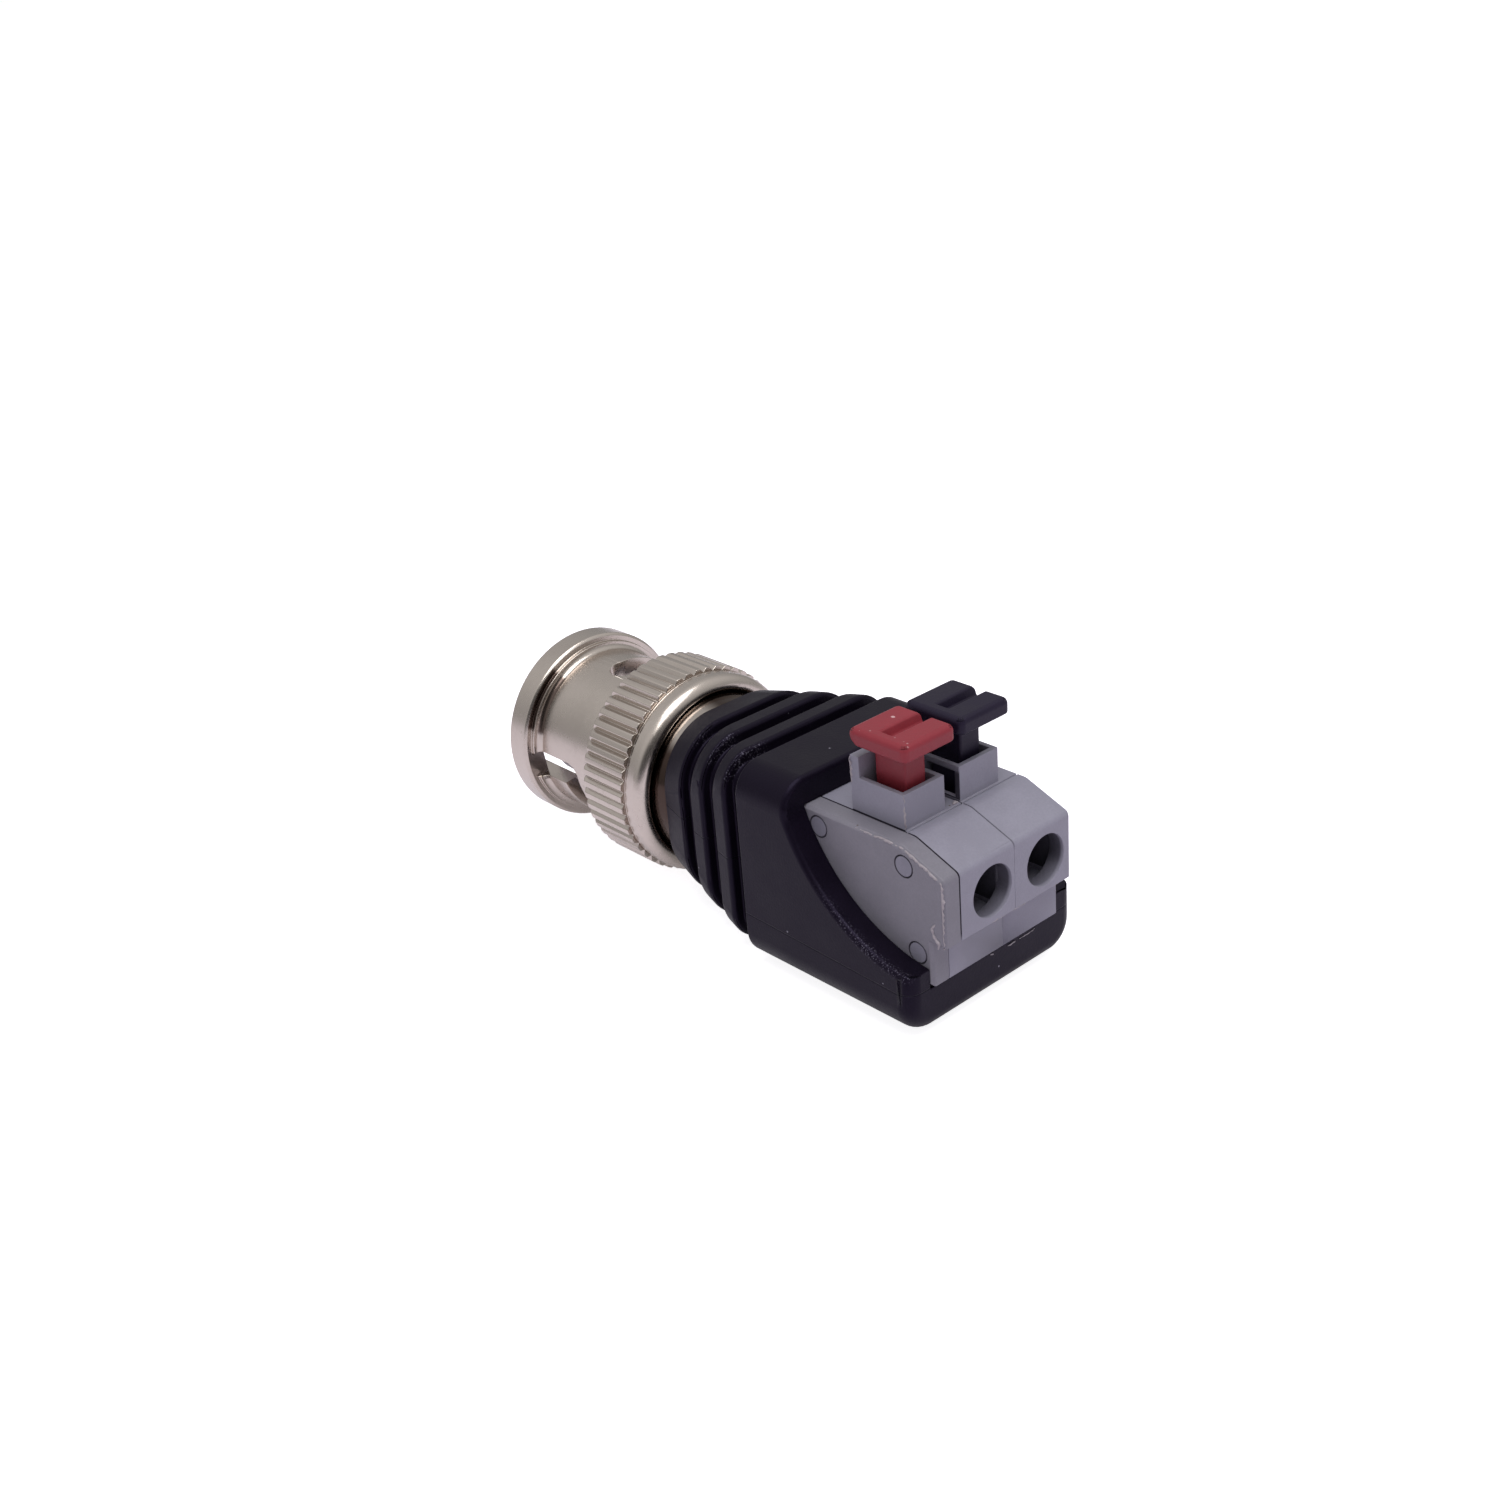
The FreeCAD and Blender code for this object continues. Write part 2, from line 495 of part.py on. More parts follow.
def make_coupling_sleeve():
    """Bayonet sleeve: rim, barrel, knurl and collar, with two slots cut along a helix."""
    sleeve = body("coupling_sleeve")
    bead_radius = d.barrel_radius + d.rim_bead_step
    bead_end_at = d.rim_width + d.rim_bead_width
    neck_radius = collar_radius - d.neck_depth
    neck_end_at = d.knurl_end_at + d.neck_width
    web_bore = d.spigot_radius + d.web_gap
    web_end_at = web_at + d.web_thickness
    revolve(sleeve, "sleeve", [
        (d.mouth_radius + d.mouth_bevel, 0),
        (rim_radius - d.rim_bevel, 0),
        (rim_radius, -d.rim_bevel),
        (rim_radius, -(d.rim_width - d.rim_bevel)),
        (rim_radius - d.rim_bevel, -d.rim_width),
        (bead_radius, -d.rim_width),
        (bead_radius, -bead_end_at),
        (d.barrel_radius, -bead_end_at, d.barrel_root),
        (d.barrel_radius, -(d.knurl_start_at - d.knurl_slope)),
        (knurl_radius - d.knurl_bevel, -d.knurl_start_at),
        (knurl_radius, -(d.knurl_start_at + d.knurl_bevel)),
        (knurl_radius, -d.knurl_end_at),
        (neck_radius, -d.knurl_end_at),
        (neck_radius, -neck_end_at),
        (collar_radius, -neck_end_at),
        (collar_radius, -d.collar_end_at, d.collar_round),
        (rear_bore + d.rim_bevel, -d.collar_end_at),
        (rear_bore, -(d.collar_end_at - d.rim_bevel)),
        (rear_bore, -web_end_at),
        (web_bore, -web_end_at),
        (web_bore, -web_at),
        (cavity_radius, -web_at),
        (cavity_radius, -d.cavity_at),
        (d.mouth_radius, -d.cavity_at),
        (d.mouth_radius, -d.mouth_bevel),
    ])

    # Knurl: one straight groove, repeated round the axis
    over = d.cutter_margin
    half = d.knurl_groove_width / 2 * (d.knurl_groove_depth + over) / d.knurl_groove_depth
    lead_in = 0.20
    cutter = sketch_on(sleeve, "XZ_Plane", "knurl_profile", d.knurl_start_at - lead_in)
    outline(cutter, [(knurl_radius - d.knurl_groove_depth, 0),
                     (knurl_radius + over, half),
                     (knurl_radius + over, -half)])
    groove = feature(sleeve, "Pocket", "knurl_groove", cutter,
                     d.knurl_end_at - d.knurl_start_at + lead_in * 1.5, reverse=True)
    around_axis(sleeve, "knurl", [groove], d.knurl_teeth)

    # Bayonet slot: keyway from the mouth, opening, turn along the helix, round end
    normal = Vector(0, 0, 1)
    half_slot = d.slot_width / 2
    inside = d.mouth_radius - over
    entry = (normal, d.slot_entry_angle)
    key = sketch_on(sleeve, "XZ_Plane", "keyway_profile", 0, entry)
    rectangle(key, inside, -half_slot, d.mouth_radius + d.keyway_depth, half_slot)
    keyway = feature(sleeve, "Pocket", "keyway", key, d.slot_turn_at, reverse=True)
    gate = sketch_on(sleeve, "XZ_Plane", "opening_profile", d.rim_width, entry)
    rectangle(gate, inside, -half_slot, rim_radius, half_slot)
    opening = feature(sleeve, "Pocket", "slot_opening", gate,
                      d.slot_turn_at - d.rim_width, reverse=True)
    turned = (Vector(0, 1, 0), -d.slot_entry_angle)
    section = sketch_on(sleeve, "XY_Plane", "slot_section", 0, turned)
    rectangle(section, inside, -(d.slot_turn_at + half_slot),
              rim_radius, -(d.slot_turn_at - half_slot))
    helix = feature(sleeve, "SubtractiveHelix", "slot_turn", section)
    helix.ReferenceAxis = (section, ["V_Axis"])
    helix.Mode = "height-turns-angle"
    helix.setExpression("Height", d.slot_lead.text)
    helix.setExpression("Turns", (d.slot_turn_angle / TURN).text)
    helix.Reversed = True
    ends = []
    for name, turn_angle, at, radius in (
            ("slot_corner", d.slot_entry_angle, d.slot_turn_at, half_slot),
            ("slot_pocket", d.slot_entry_angle + d.slot_turn_angle,
             d.slot_turn_at + d.slot_lead, d.slot_pocket_radius)):
        spot = sketch_on(sleeve, "YZ_Plane", name + "_profile", 0,
                         (Vector(1, 0, 0), -turn_angle))
        disc(spot, -at, 0, radius)
        ends.append(feature(sleeve, "Pocket", name, spot, rim_radius, reverse=True))
    around_axis(sleeve, "bayonet_slots", [keyway, opening, helix] + ends, 2)


def make_plug_body():
    """Turned plug body: spigot with ring groove, shoulder and ribbed barrel."""
    plug = body("plug_body")
    bore = d.insulator_radius + d.sleeve_fit
    seat = d.contact_seat_radius + d.sleeve_fit
    revolve(plug, "plug", [
        (seat, -d.front_face_at),
        (d.spigot_radius, -d.front_face_at),
        (d.spigot_radius, -d.ring_groove_at),
        (d.ring_groove_radius, -d.ring_groove_at),
        (d.ring_groove_radius, -ring_back_at),
        (d.spigot_radius, -ring_back_at),
        (d.spigot_radius, -shoulder_at),
        (d.shoulder_radius - d.shoulder_bevel, -shoulder_at),
        (d.shoulder_radius, -(shoulder_at + d.shoulder_bevel)),
        (d.shoulder_radius, -d.collar_end_at),
        (d.shoulder_radius - d.ferrule_taper, -d.housing_front_at),
    ] + barrel_corners() + [
        (bore, -barrel_end_at),
        (bore, -contact_seat_at),
        (seat, -contact_seat_at),
    ])


def barrel_corners():
    """Outside of the plug body where the housing is moulded round it."""
    locked = d.barb_radius - d.barb_groove_depth
    groove_at = d.housing_front_at + d.barrel_length / 2 - d.barb_groove_width / 2
    return [(d.barb_radius, -d.housing_front_at),
            (d.barb_radius, -groove_at),
            (locked, -groove_at),
            (locked, -(groove_at + d.barb_groove_width)),
            (d.barb_radius, -(groove_at + d.barb_groove_width)),
            (d.barb_radius, -barrel_end_at)]


def make_ring(name, inner, outer, front_at, back_at, angle=None):
    """A flat ring round the axis, or part of one."""
    ring = body(name)
    revolve(ring, name + "_section", [(inner, -front_at), (outer, -front_at),
                                      (outer, -back_at), (inner, -back_at)], angle=angle)
    return ring


def make_coupling_rings():
    """Gasket, retaining ring, thrust ring and wave washer round the spigot."""
    gasket_bore = d.contact_seat_radius + d.sleeve_fit
    make_ring("gasket", gasket_bore, gasket_bore + d.gasket_wall,
              d.front_face_at - d.gasket_thickness, d.front_face_at)
    fit = d.stack_gap
    make_ring("retaining_ring", d.ring_groove_radius + fit, d.ring_radius,
              d.ring_groove_at + fit, ring_back_at - fit, TURN - d.ring_opening)
    inner = d.spigot_radius + d.washer_clearance
    outer = cavity_radius - d.washer_clearance
    make_ring("thrust_ring", inner, outer, thrust_at, web_at)

    waves = round(d.spring_waves.number)
    swing = (d.spring_height.number - d.spring_strip.number) / 2
    middle_at = ring_back_at.number + d.stack_gap.number + swing
    steps = waves * 16

    def wavy(radius, back):
        spots = []
        for i in range(steps):
            turn = 2 * math.pi * i / steps
            spots.append(Vector(radius * math.cos(turn),
                                -(middle_at + swing * math.cos(waves * turn) + back),
                                radius * math.sin(turn)))
        curve = Part.BSplineCurve()
        curve.interpolate(Points=spots, PeriodicFlag=True)
        return curve.toShape()

    loops = [wavy(inner.number, 0), wavy(outer.number, 0),
             wavy(outer.number, d.spring_strip.number),
             wavy(inner.number, d.spring_strip.number)]
    faces = [Part.makeRuledSurface(loops[i - 1], loops[i]) for i in range(4)]
    washer = doc.addObject("Part::Feature", "wave_washer")
    washer.Label = "wave_washer"
    solid = Part.Solid(Part.Shell(faces))
    if solid.Volume < 0:
        solid.reverse()
    washer.Shape = solid
    washer.Placement = Placement()


def make_outer_contact():
    """Springy tube with slits from its tip."""
    tube = body("outer_contact")
    inner = d.contact_radius - d.contact_wall
    step_at = d.front_face_at - d.gasket_thickness
    revolve(tube, "tube", [
        (inner + d.contact_bevel, -d.contact_tip_at),
        (d.contact_radius - d.contact_bevel, -d.contact_tip_at),
        (d.contact_radius, -(d.contact_tip_at + d.contact_bevel)),
        (d.contact_radius, -step_at),
        (d.contact_seat_radius, -step_at),
        (d.contact_seat_radius, -contact_seat_at),
        (inner, -contact_seat_at),
        (inner, -(d.contact_tip_at + d.contact_bevel)),
    ])
    half = d.contact_slit_width / 2
    slot = sketch_on(tube, "XZ_Plane", "slit_profile", d.contact_tip_at,
                     (Vector(0, 0, 1), d.slit_angle))
    rectangle(slot, inner - half, -half, d.contact_radius + half, half)
    slit = feature(tube, "Pocket", "slit", slot, d.contact_slit_length, reverse=True)
    around_axis(tube, "slits", [slit], d.contact_slits)


def make_insulator_and_pin():
    """Insulator inside the outer contact, and the centre pin that it holds."""
    insulator = body("insulator")
    wide = d.contact_radius - d.contact_wall - d.sleeve_fit
    bore = d.pin_stem_radius + d.sleeve_fit
    revolve(insulator, "insulator_section", [
        (bore, -d.insulator_face_at),
        (wide, -d.insulator_face_at),
        (wide, -contact_seat_at),
        (d.insulator_radius, -contact_seat_at),
        (d.insulator_radius, -d.insulator_end_at),
        (bore, -d.insulator_end_at),
    ])
    pin = body("centre_pin")
    revolve(pin, "pin_section", [
        (0, -d.pin_tip_at),
        (d.pin_tip_radius, -d.pin_tip_at),
        (d.pin_radius, -(d.pin_tip_at + d.pin_tip_taper)),
        (d.pin_radius, -d.pin_shoulder_at),
        (d.pin_stem_radius, -d.pin_shoulder_at),
        (d.pin_stem_radius, -d.pin_end_at),
        (d.cup_radius, -d.pin_end_at),
        (d.cup_radius, -(d.pin_end_at - d.cup_depth)),
        (0, -(d.pin_end_at - d.cup_depth)),
    ])


def block_outline(drawn):
    """Side view of the terminal block, as (y, z) corners."""
    foot_bottom = d.rear_wall_top + d.foot_gap
    behind_wall_at = d.box_end_at - d.rear_wall - d.well_clearance * 2
    outline(drawn, [
        (-d.block_back_at, block_base),
        (-behind_wall_at, block_base),
        (-behind_wall_at, foot_bottom),
        (-d.foot_front_at, foot_bottom),
        (-d.foot_front_at, d.face_bottom),
        (-d.block_face_at, d.face_bottom),
        (-d.block_face_at, d.face_top, d.face_round),
        (-d.knee_at, d.knee_height, d.knee_round),
        (-d.block_back_at, d.knee_height),
    ])
    return drawn


def swept_outline(drawn, above, beyond):
    """Outline of the cut-away: upright front side, top, rear side and the arc below."""
    radius = d.cut_arc_radius
    centre = (-d.cut_arc_at, d.cut_floor + radius)
    middle = Vector(centre[0].number, centre[1].number, 0)

    def on_arc(across):
        drop = math.sqrt(radius.number ** 2 - (across - middle.x) ** 2)
        return Vector(across, middle.y - drop, 0)

    rear = on_arc(-beyond.number)
    front = on_arc(-d.cut_at.number)
    start = math.atan2(rear.y - middle.y, rear.x - middle.x)
    finish = math.atan2(front.y - middle.y, front.x - middle.x)
    circle = Part.Circle(middle, Vector(0, 0, 1), radius.number)
    arc = drawn.addGeometry(Part.ArcOfCircle(circle, start, finish), False)
    top_front = Vector(front.x, above.number, 0)
    top_rear = Vector(rear.x, above.number, 0)
    upright = drawn.addGeometry(Part.LineSegment(front, top_front), False)
    top = drawn.addGeometry(Part.LineSegment(top_front, top_rear), False)
    behind = drawn.addGeometry(Part.LineSegment(top_rear, rear), False)
    for first, end, second, start in ((arc, 2, upright, 1), (upright, 2, top, 1),
                                      (top, 2, behind, 1), (behind, 2, arc, 1)):
        drawn.addConstraint(Sketcher.Constraint("Coincident", first, end, second, start))
    for line in (upright, behind):
        drawn.addConstraint(Sketcher.Constraint("Vertical", line))
    made = drawn.addConstraint(Sketcher.Constraint("Radius", arc, radius.number))
    drawn.setExpression(f"Constraints[{made}]", radius.text)
    pin_point(drawn, arc, 3, *centre)
    pin_point(drawn, top, 1, -d.cut_at, above)
    pin_point(drawn, top, 2, -beyond, above)


def make_housing():
    """Moulded housing: ribbed sleeve round the plug body, and a box for the block."""
    housing = body("housing")

    def blend(field, front_name, back_name, front_at, back_at, at):
        front = getattr(d, front_name + field)
        back = getattr(d, back_name + field)
        return front + (back - front) * (at - front_at) / (back_at - front_at)

    def above_floor(spot, half_width, half_height, corner):
        """True where a spot lies outside a groove's floor, a square with round corners."""
        aside = abs(spot.x) - half_width.number + corner.number
        up = abs(spot.z) - half_height.number + corner.number
        beyond = math.hypot(max(aside, 0), max(up, 0)) - corner.number
        return beyond > d.groove_depth.number / 4

    def section(name, at, half_width, half_height, corner):
        drawn = sketch_on(housing, "XZ_Plane", name, at)
        rounded_square(drawn, half_width, half_height, corner)
        return drawn

    front = section("front_section", d.housing_front_at,
                    d.front_half_width, d.front_half_height, d.front_corner)
    waist = section("waist_section", d.waist_at,
                    d.waist_half_width, d.waist_half_height, d.waist_corner)
    shoulder = section("box_front_section", d.box_front_at,
                       d.box_half_width, d.box_half_height, d.box_corner)
    sleeve = feature(housing, "AdditiveLoft", "tapered_sleeve", front)
    sleeve.Sections = [waist, shoulder]
    sleeve.Ruled = True
    near = section("box_section", d.box_front_at,
                   d.box_half_width, d.box_half_height, d.box_corner)
    box = feature(housing, "Pad", "box", near, d.box_end_at - d.box_front_at)
    end = -d.box_end_at.number
    soften(housing, "Fillet", "box_end_edges", box,
           lambda spot: abs(spot.y - end) < SAME_PLACE, d.box_end_round)

    # Grooves between the ribs
    for i in range(3):
        at = d.groove_at + d.groove_pitch * i
        middle = at + d.groove_width / 2
        if i == 0:
            ends = ("front_", "waist_", d.housing_front_at, d.waist_at, middle)
        else:
            ends = ("waist_", "box_", d.waist_at, d.box_front_at, middle)
        half_width = blend("half_width", *ends) - d.groove_depth
        half_height = blend("half_height", *ends) - d.groove_depth
        corner = blend("corner", *ends) - d.groove_depth
        drawn = sketch_on(housing, "XZ_Plane", f"groove_{i + 1}_profile", at)
        wide = half_width + d.groove_depth * 2
        tall = half_height + d.groove_depth * 2
        rectangle(drawn, -wide, -tall, wide, tall)
        rounded_square(drawn, half_width, half_height, corner)
        groove = feature(housing, "Pocket", f"groove_{i + 1}", drawn, d.groove_width,
                         reverse=True)
        rib_end = -at.number
        soften(housing, "Chamfer", f"rib_{i + 1}_edge", groove,
               lambda spot: (abs(spot.y - rib_end) < SAME_PLACE
                             and above_floor(spot, half_width, half_height, corner)),
               d.rib_bevel)

    # Bore moulded round the plug body's barrel
    revolve(housing, "barrel_bore",
            [(0, -d.housing_front_at)] + barrel_corners() + [(0, -barrel_end_at)],
            kind="Groove")

    # Wiring chamber behind the barrel, with a solder trough below the block
    room = sketch_on(housing, "YZ_Plane", "chamber_profile", -d.chamber_half_width)
    outline(room, [(-barrel_end_at, d.chamber_roof),
                   (-barrel_end_at, d.chamber_floor),
                   (-d.trough_front_at, d.chamber_floor),
                   (-d.trough_front_at, trough_floor),
                   (-d.trough_back_at, trough_floor),
                   (-d.trough_back_at, block_base + d.well_clearance),
                   (-(d.block_back_at + d.well_clearance), block_base + d.well_clearance),
                   (-(d.block_back_at + d.well_clearance), d.chamber_roof)])
    feature(housing, "Pocket", "chamber", room, d.chamber_half_width * 2, reverse=True)

    # The cut-away: upright wall, then side walls that sweep down to the rear
    above = d.box_half_height + d.cutter_margin
    beyond = d.box_end_at + d.cutter_margin
    across = d.box_half_width + d.cutter_margin
    sweep = sketch_on(housing, "YZ_Plane", "cutaway_profile", -across)
    swept_outline(sweep, above, beyond)
    feature(housing, "Pocket", "cutaway", sweep, across * 2, reverse=True)

    # The well that takes the terminal block between the side walls
    gap = d.well_clearance
    well = sketch_on(housing, "YZ_Plane", "well_profile", block_left - gap)
    outline(well, [(-(d.block_back_at - gap), block_base - gap),
                   (-(d.block_back_at - gap), d.knee_height + gap),
                   (-d.cut_at, d.knee_height + gap),
                   (-d.cut_at, above),
                   (-beyond, above),
                   (-beyond, d.rear_wall_top),
                   (-(d.box_end_at - d.rear_wall), d.rear_wall_top),
                   (-(d.box_end_at - d.rear_wall), block_base - gap)])
    feature(housing, "Pocket", "block_well", well,
            block_right - block_left + gap * 2, reverse=True)


def make_end_cover():
    """Cover plate that closes the first pole, with three peg holes."""
    cover = body("end_cover")
    drawn = block_outline(sketch_on(cover, "YZ_Plane", "cover_outline", block_left))
    plate = feature(cover, "Pad", "plate", drawn, d.cover_thickness)
    outside = block_left.number
    soften(cover, "Chamfer", "outer_edge", plate,
           lambda spot: abs(spot.x - outside) < SAME_PLACE, d.cover_bevel)
    for name, at, height in pegs:
        hole = sketch_on(cover, "YZ_Plane", name + "_hole_profile", block_left)
        disc(hole, -at, height, d.peg_radius + d.peg_clearance)
        feature(cover, "Pocket", name + "_hole", hole, d.cover_thickness, reverse=True)


def make_pole(colour, left, extra, outer):
    """One pole of the terminal block: entry, hollow and button socket.

    The outer pole carries the cover's pegs, and the inner one has a window in its socket.
    """
    pole = body("terminal_module_" + colour)
    width = d.pole_pitch + extra - d.pole_gap
    drawn = block_outline(sketch_on(pole, "YZ_Plane", "pole_outline", left))
    feature(pole, "Pad", "pole_block", drawn, width)

    # Button socket on the flat top, with a taller back wall
    socket_right = left + d.socket_width
    for name, front_at, top in (("socket", d.socket_front_at, d.socket_top),
                                ("socket_back", d.socket_back_at + d.socket_back_wall,
                                 d.socket_back_top)):
        wall = sketch_on(pole, "XY_Plane", name + "_outline", d.knee_height - d.socket_root)
        rectangle(wall, left, -front_at, socket_right, -d.socket_back_at)
        feature(pole, "Pad", name, wall, top - d.knee_height + d.socket_root)

    line = sketch_on(pole, "YZ_Plane", "top_line_profile", left)
    rectangle(line, -(d.top_line_at + d.top_line_size), d.knee_height - d.top_line_size,
              -d.top_line_at, d.knee_height + d.top_line_size)
    feature(pole, "Pocket", "top_line", line, width, reverse=True)

    # Hollow for bar and spring, open to the left, with a slot for the solder pin
    seat = d.bar_height - d.bar_thickness - d.bar_seat_gap
    hollow = sketch_on(pole, "YZ_Plane", "hollow_profile", left)
    outline(hollow, [(-d.hollow_front_at, seat),
                     (-d.hollow_front_at, hollow_shelf),
                     (-d.guide_front_at, hollow_shelf),
                     (-d.guide_front_at, hollow_roof),
                     (-d.guide_back_at, hollow_roof),
                     (-d.guide_back_at, hollow_shelf),
                     (-d.hollow_back_at, hollow_shelf),
                     (-d.hollow_back_at, hollow_floor),
                     (-d.bar_seat_back_at, hollow_floor),
                     (-d.bar_seat_back_at, seat)])
    feature(pole, "Pocket", "hollow", hollow, width - d.pole_wall, reverse=True)

    opening = sketch_on(pole, "XY_Plane", "socket_opening_profile", hollow_roof)
    rectangle(opening, left + d.socket_wall, -(d.socket_front_at - d.socket_wall),
              socket_right - d.socket_wall, -(d.socket_back_at + d.socket_back_wall))
    feature(pole, "Pocket", "socket_opening", opening,
            d.socket_back_top - hollow_roof, reverse=True)

    centre = left + d.bar_inset + d.bar_width / 2
    half = d.solder_pin_width / 2 + d.pin_slot_clearance
    slot = sketch_on(pole, "XY_Plane", "pin_slot_profile", block_base)
    rectangle(slot, centre - half, -(d.bar_back_at + d.bar_thickness + d.pin_slot_clearance),
              centre + half, -(d.bar_back_at - d.pin_slot_clearance))
    feature(pole, "Pocket", "pin_slot", slot, hollow_floor - block_base, reverse=True)

    # Round wire entry, and the square hollow behind it
    entry_end_at = d.block_face_at - d.entry_length
    entry = sketch_on(pole, "XZ_Plane", "entry_profile", entry_end_at)
    disc(entry, left + d.entry_offset, d.entry_height, d.entry_radius)
    feature(pole, "Pocket", "wire_entry", entry, d.entry_length, reverse=True)
    reach = d.entry_radius + d.entry_margin
    behind = sketch_on(pole, "XZ_Plane", "entry_hollow_profile", d.hollow_front_at)
    rectangle(behind, left + d.entry_offset - reach, seat,
              left + width - d.pole_wall, hollow_shelf)
    feature(pole, "Pocket", "entry_hollow", behind,
            entry_end_at - d.hollow_front_at, reverse=True)

    if outer:
        stub = sketch_on(pole, "YZ_Plane", "peg_profiles", block_left)
        for _, at, height in pegs:
            disc(stub, -at, height, d.peg_radius)
        feature(pole, "Pad", "pegs", stub, left - block_left)
    else:
        window = sketch_on(pole, "YZ_Plane", "socket_window_profile", left)
        rectangle(window, -(d.socket_front_at - d.socket_wall),
                  d.knee_height + d.window_rim / 2,
                  -(d.socket_back_at + d.socket_back_wall), d.socket_top - d.window_rim)
        feature(pole, "Pocket", "socket_window", window, d.socket_wall, reverse=True)
    pole.Tip = pole.Group[-1]


def make_button(colour, left):
    """Push button: slotted head on a stem, with a foot that keeps it in its socket."""
    button = body(colour + "_button")
    stem_left = left + d.stem_inset
    stem_right = stem_left + d.stem_width
    foot_top = hollow_roof - d.button_play
    foot_bottom = foot_top - d.stem_foot_height
    under_head = d.head_top - d.head_thickness
    stem = sketch_on(button, "XY_Plane", "stem_outline", foot_bottom)
    rectangle(stem, stem_left, -d.stem_front_at, stem_right, -d.stem_back_at)
    feature(button, "Pad", "stem", stem, under_head - foot_bottom)
    foot = sketch_on(button, "XY_Plane", "foot_outline", foot_bottom)
    rectangle(foot, stem_left, -(d.stem_front_at + d.stem_foot_spread),
              stem_right, -(d.stem_back_at - d.stem_foot_spread))
    feature(button, "Pad", "foot", foot, d.stem_foot_height)

    # Head with rounded corners, bevelled on top and sloped below its back edge
    head_left = left - d.head_left_overhang
    head_right = head_left + d.head_width
    head = sketch_on(button, "XY_Plane", "head_outline", under_head)
    outline(head, [(head_left, -d.head_front_at, d.head_corner),
                   (head_right, -d.head_front_at, d.head_corner),
                   (head_right, -d.head_back_at, d.head_corner),
                   (head_left, -d.head_back_at, d.head_corner)])
    block = feature(button, "Pad", "head", head, d.head_thickness)
    top = d.head_top.number
    soften(button, "Chamfer", "head_bevels", block,
           lambda spot: abs(spot.z - top) < SAME_PLACE, d.head_bevel)
    beyond = d.cutter_margin
    rise = d.head_undercut * (d.head_undercut_length + beyond) / d.head_undercut_length
    slope = sketch_on(button, "YZ_Plane", "head_slope_profile", head_left - beyond)
    outline(slope, [(-(d.head_back_at + d.head_undercut_length), under_head),
                    (-(d.head_back_at - beyond), under_head),
                    (-(d.head_back_at - beyond), under_head + rise)])
    feature(button, "Pocket", "head_slope", slope, d.head_width + beyond * 2, reverse=True)
    slot_left = head_left + d.head_bar
    slot_front_at = d.head_slot_back_at + d.head_slot_width
    slot = sketch_on(button, "YZ_Plane", "tool_slot_profile", slot_left)
    outline(slot, [(-slot_front_at, d.head_top - d.head_slot_depth),
                   (-(slot_front_at + d.head_slot_flare), d.head_top),
                   (-(d.head_slot_back_at - d.head_slot_flare), d.head_top),
                   (-d.head_slot_back_at, d.head_top - d.head_slot_depth)])
    feature(button, "Pocket", "tool_slot", slot, d.head_width - d.head_bar, reverse=True)


def make_contact_bar(colour, left):
    """Current bar below the wire entry, bent down to a narrow solder pin."""
    bar = body("contact_bar_" + colour)
    bar_left = left + d.bar_inset
    bar_bottom = d.bar_height - d.bar_thickness
    leg_front_at = d.bar_back_at + d.bar_thickness
    leg_end = hollow_floor + d.bar_leg_gap
    pin_end = trough_floor + d.solder_pin_gap
    strip = sketch_on(bar, "YZ_Plane", "strip_profile", bar_left)
    outline(strip, [(-d.bar_front_at, bar_bottom),
                    (-d.bar_front_at, d.bar_height),
                    (-d.bar_back_at, d.bar_height, d.bar_thickness),
                    (-d.bar_back_at, leg_end),
                    (-leg_front_at, leg_end),
                    (-leg_front_at, bar_bottom)])
    feature(bar, "Pad", "strip", strip, d.bar_width)
    centre = bar_left + d.bar_width / 2
    half = d.solder_pin_width / 2
    pin = sketch_on(bar, "XY_Plane", "solder_pin_outline", pin_end)
    rectangle(pin, centre - half, -leg_front_at, centre + half, -d.bar_back_at)
    feature(bar, "Pad", "solder_pin", pin, leg_end - pin_end)


def make_clamp_spring(colour, left):
    """Cage spring: foot on the bar, rear leg, leg under the button, clamping leg."""
    spring = body("clamp_spring_" + colour)
    low = d.bar_height + d.cage_gap
    high = hollow_roof - d.button_play - d.stem_foot_height - d.cage_gap
    inner_bend = d.cage_bend - d.cage_strip
    lean = d.cage_lean
    strip = sketch_on(spring, "YZ_Plane", "spring_profile", left + d.bar_inset)
    outline(strip, [
        (-d.cage_foot_at, low),
        (-d.cage_back_at, low, d.cage_bend),
        (-d.cage_back_at, high, d.cage_bend),
        (-d.cage_front_at, high, d.cage_bend),
        (-d.cage_tip_at, d.cage_tip),
        (-(d.cage_tip_at - d.cage_strip), d.cage_tip),
        (-(d.cage_front_at - d.cage_strip * lean), high - d.cage_strip, inner_bend),
        (-(d.cage_back_at + d.cage_strip), high - d.cage_strip, inner_bend),
        (-(d.cage_back_at + d.cage_strip), low + d.cage_strip, inner_bend),
        (-d.cage_foot_at, low + d.cage_strip),
    ])
    feature(spring, "Pad", "strip", strip, d.bar_width)


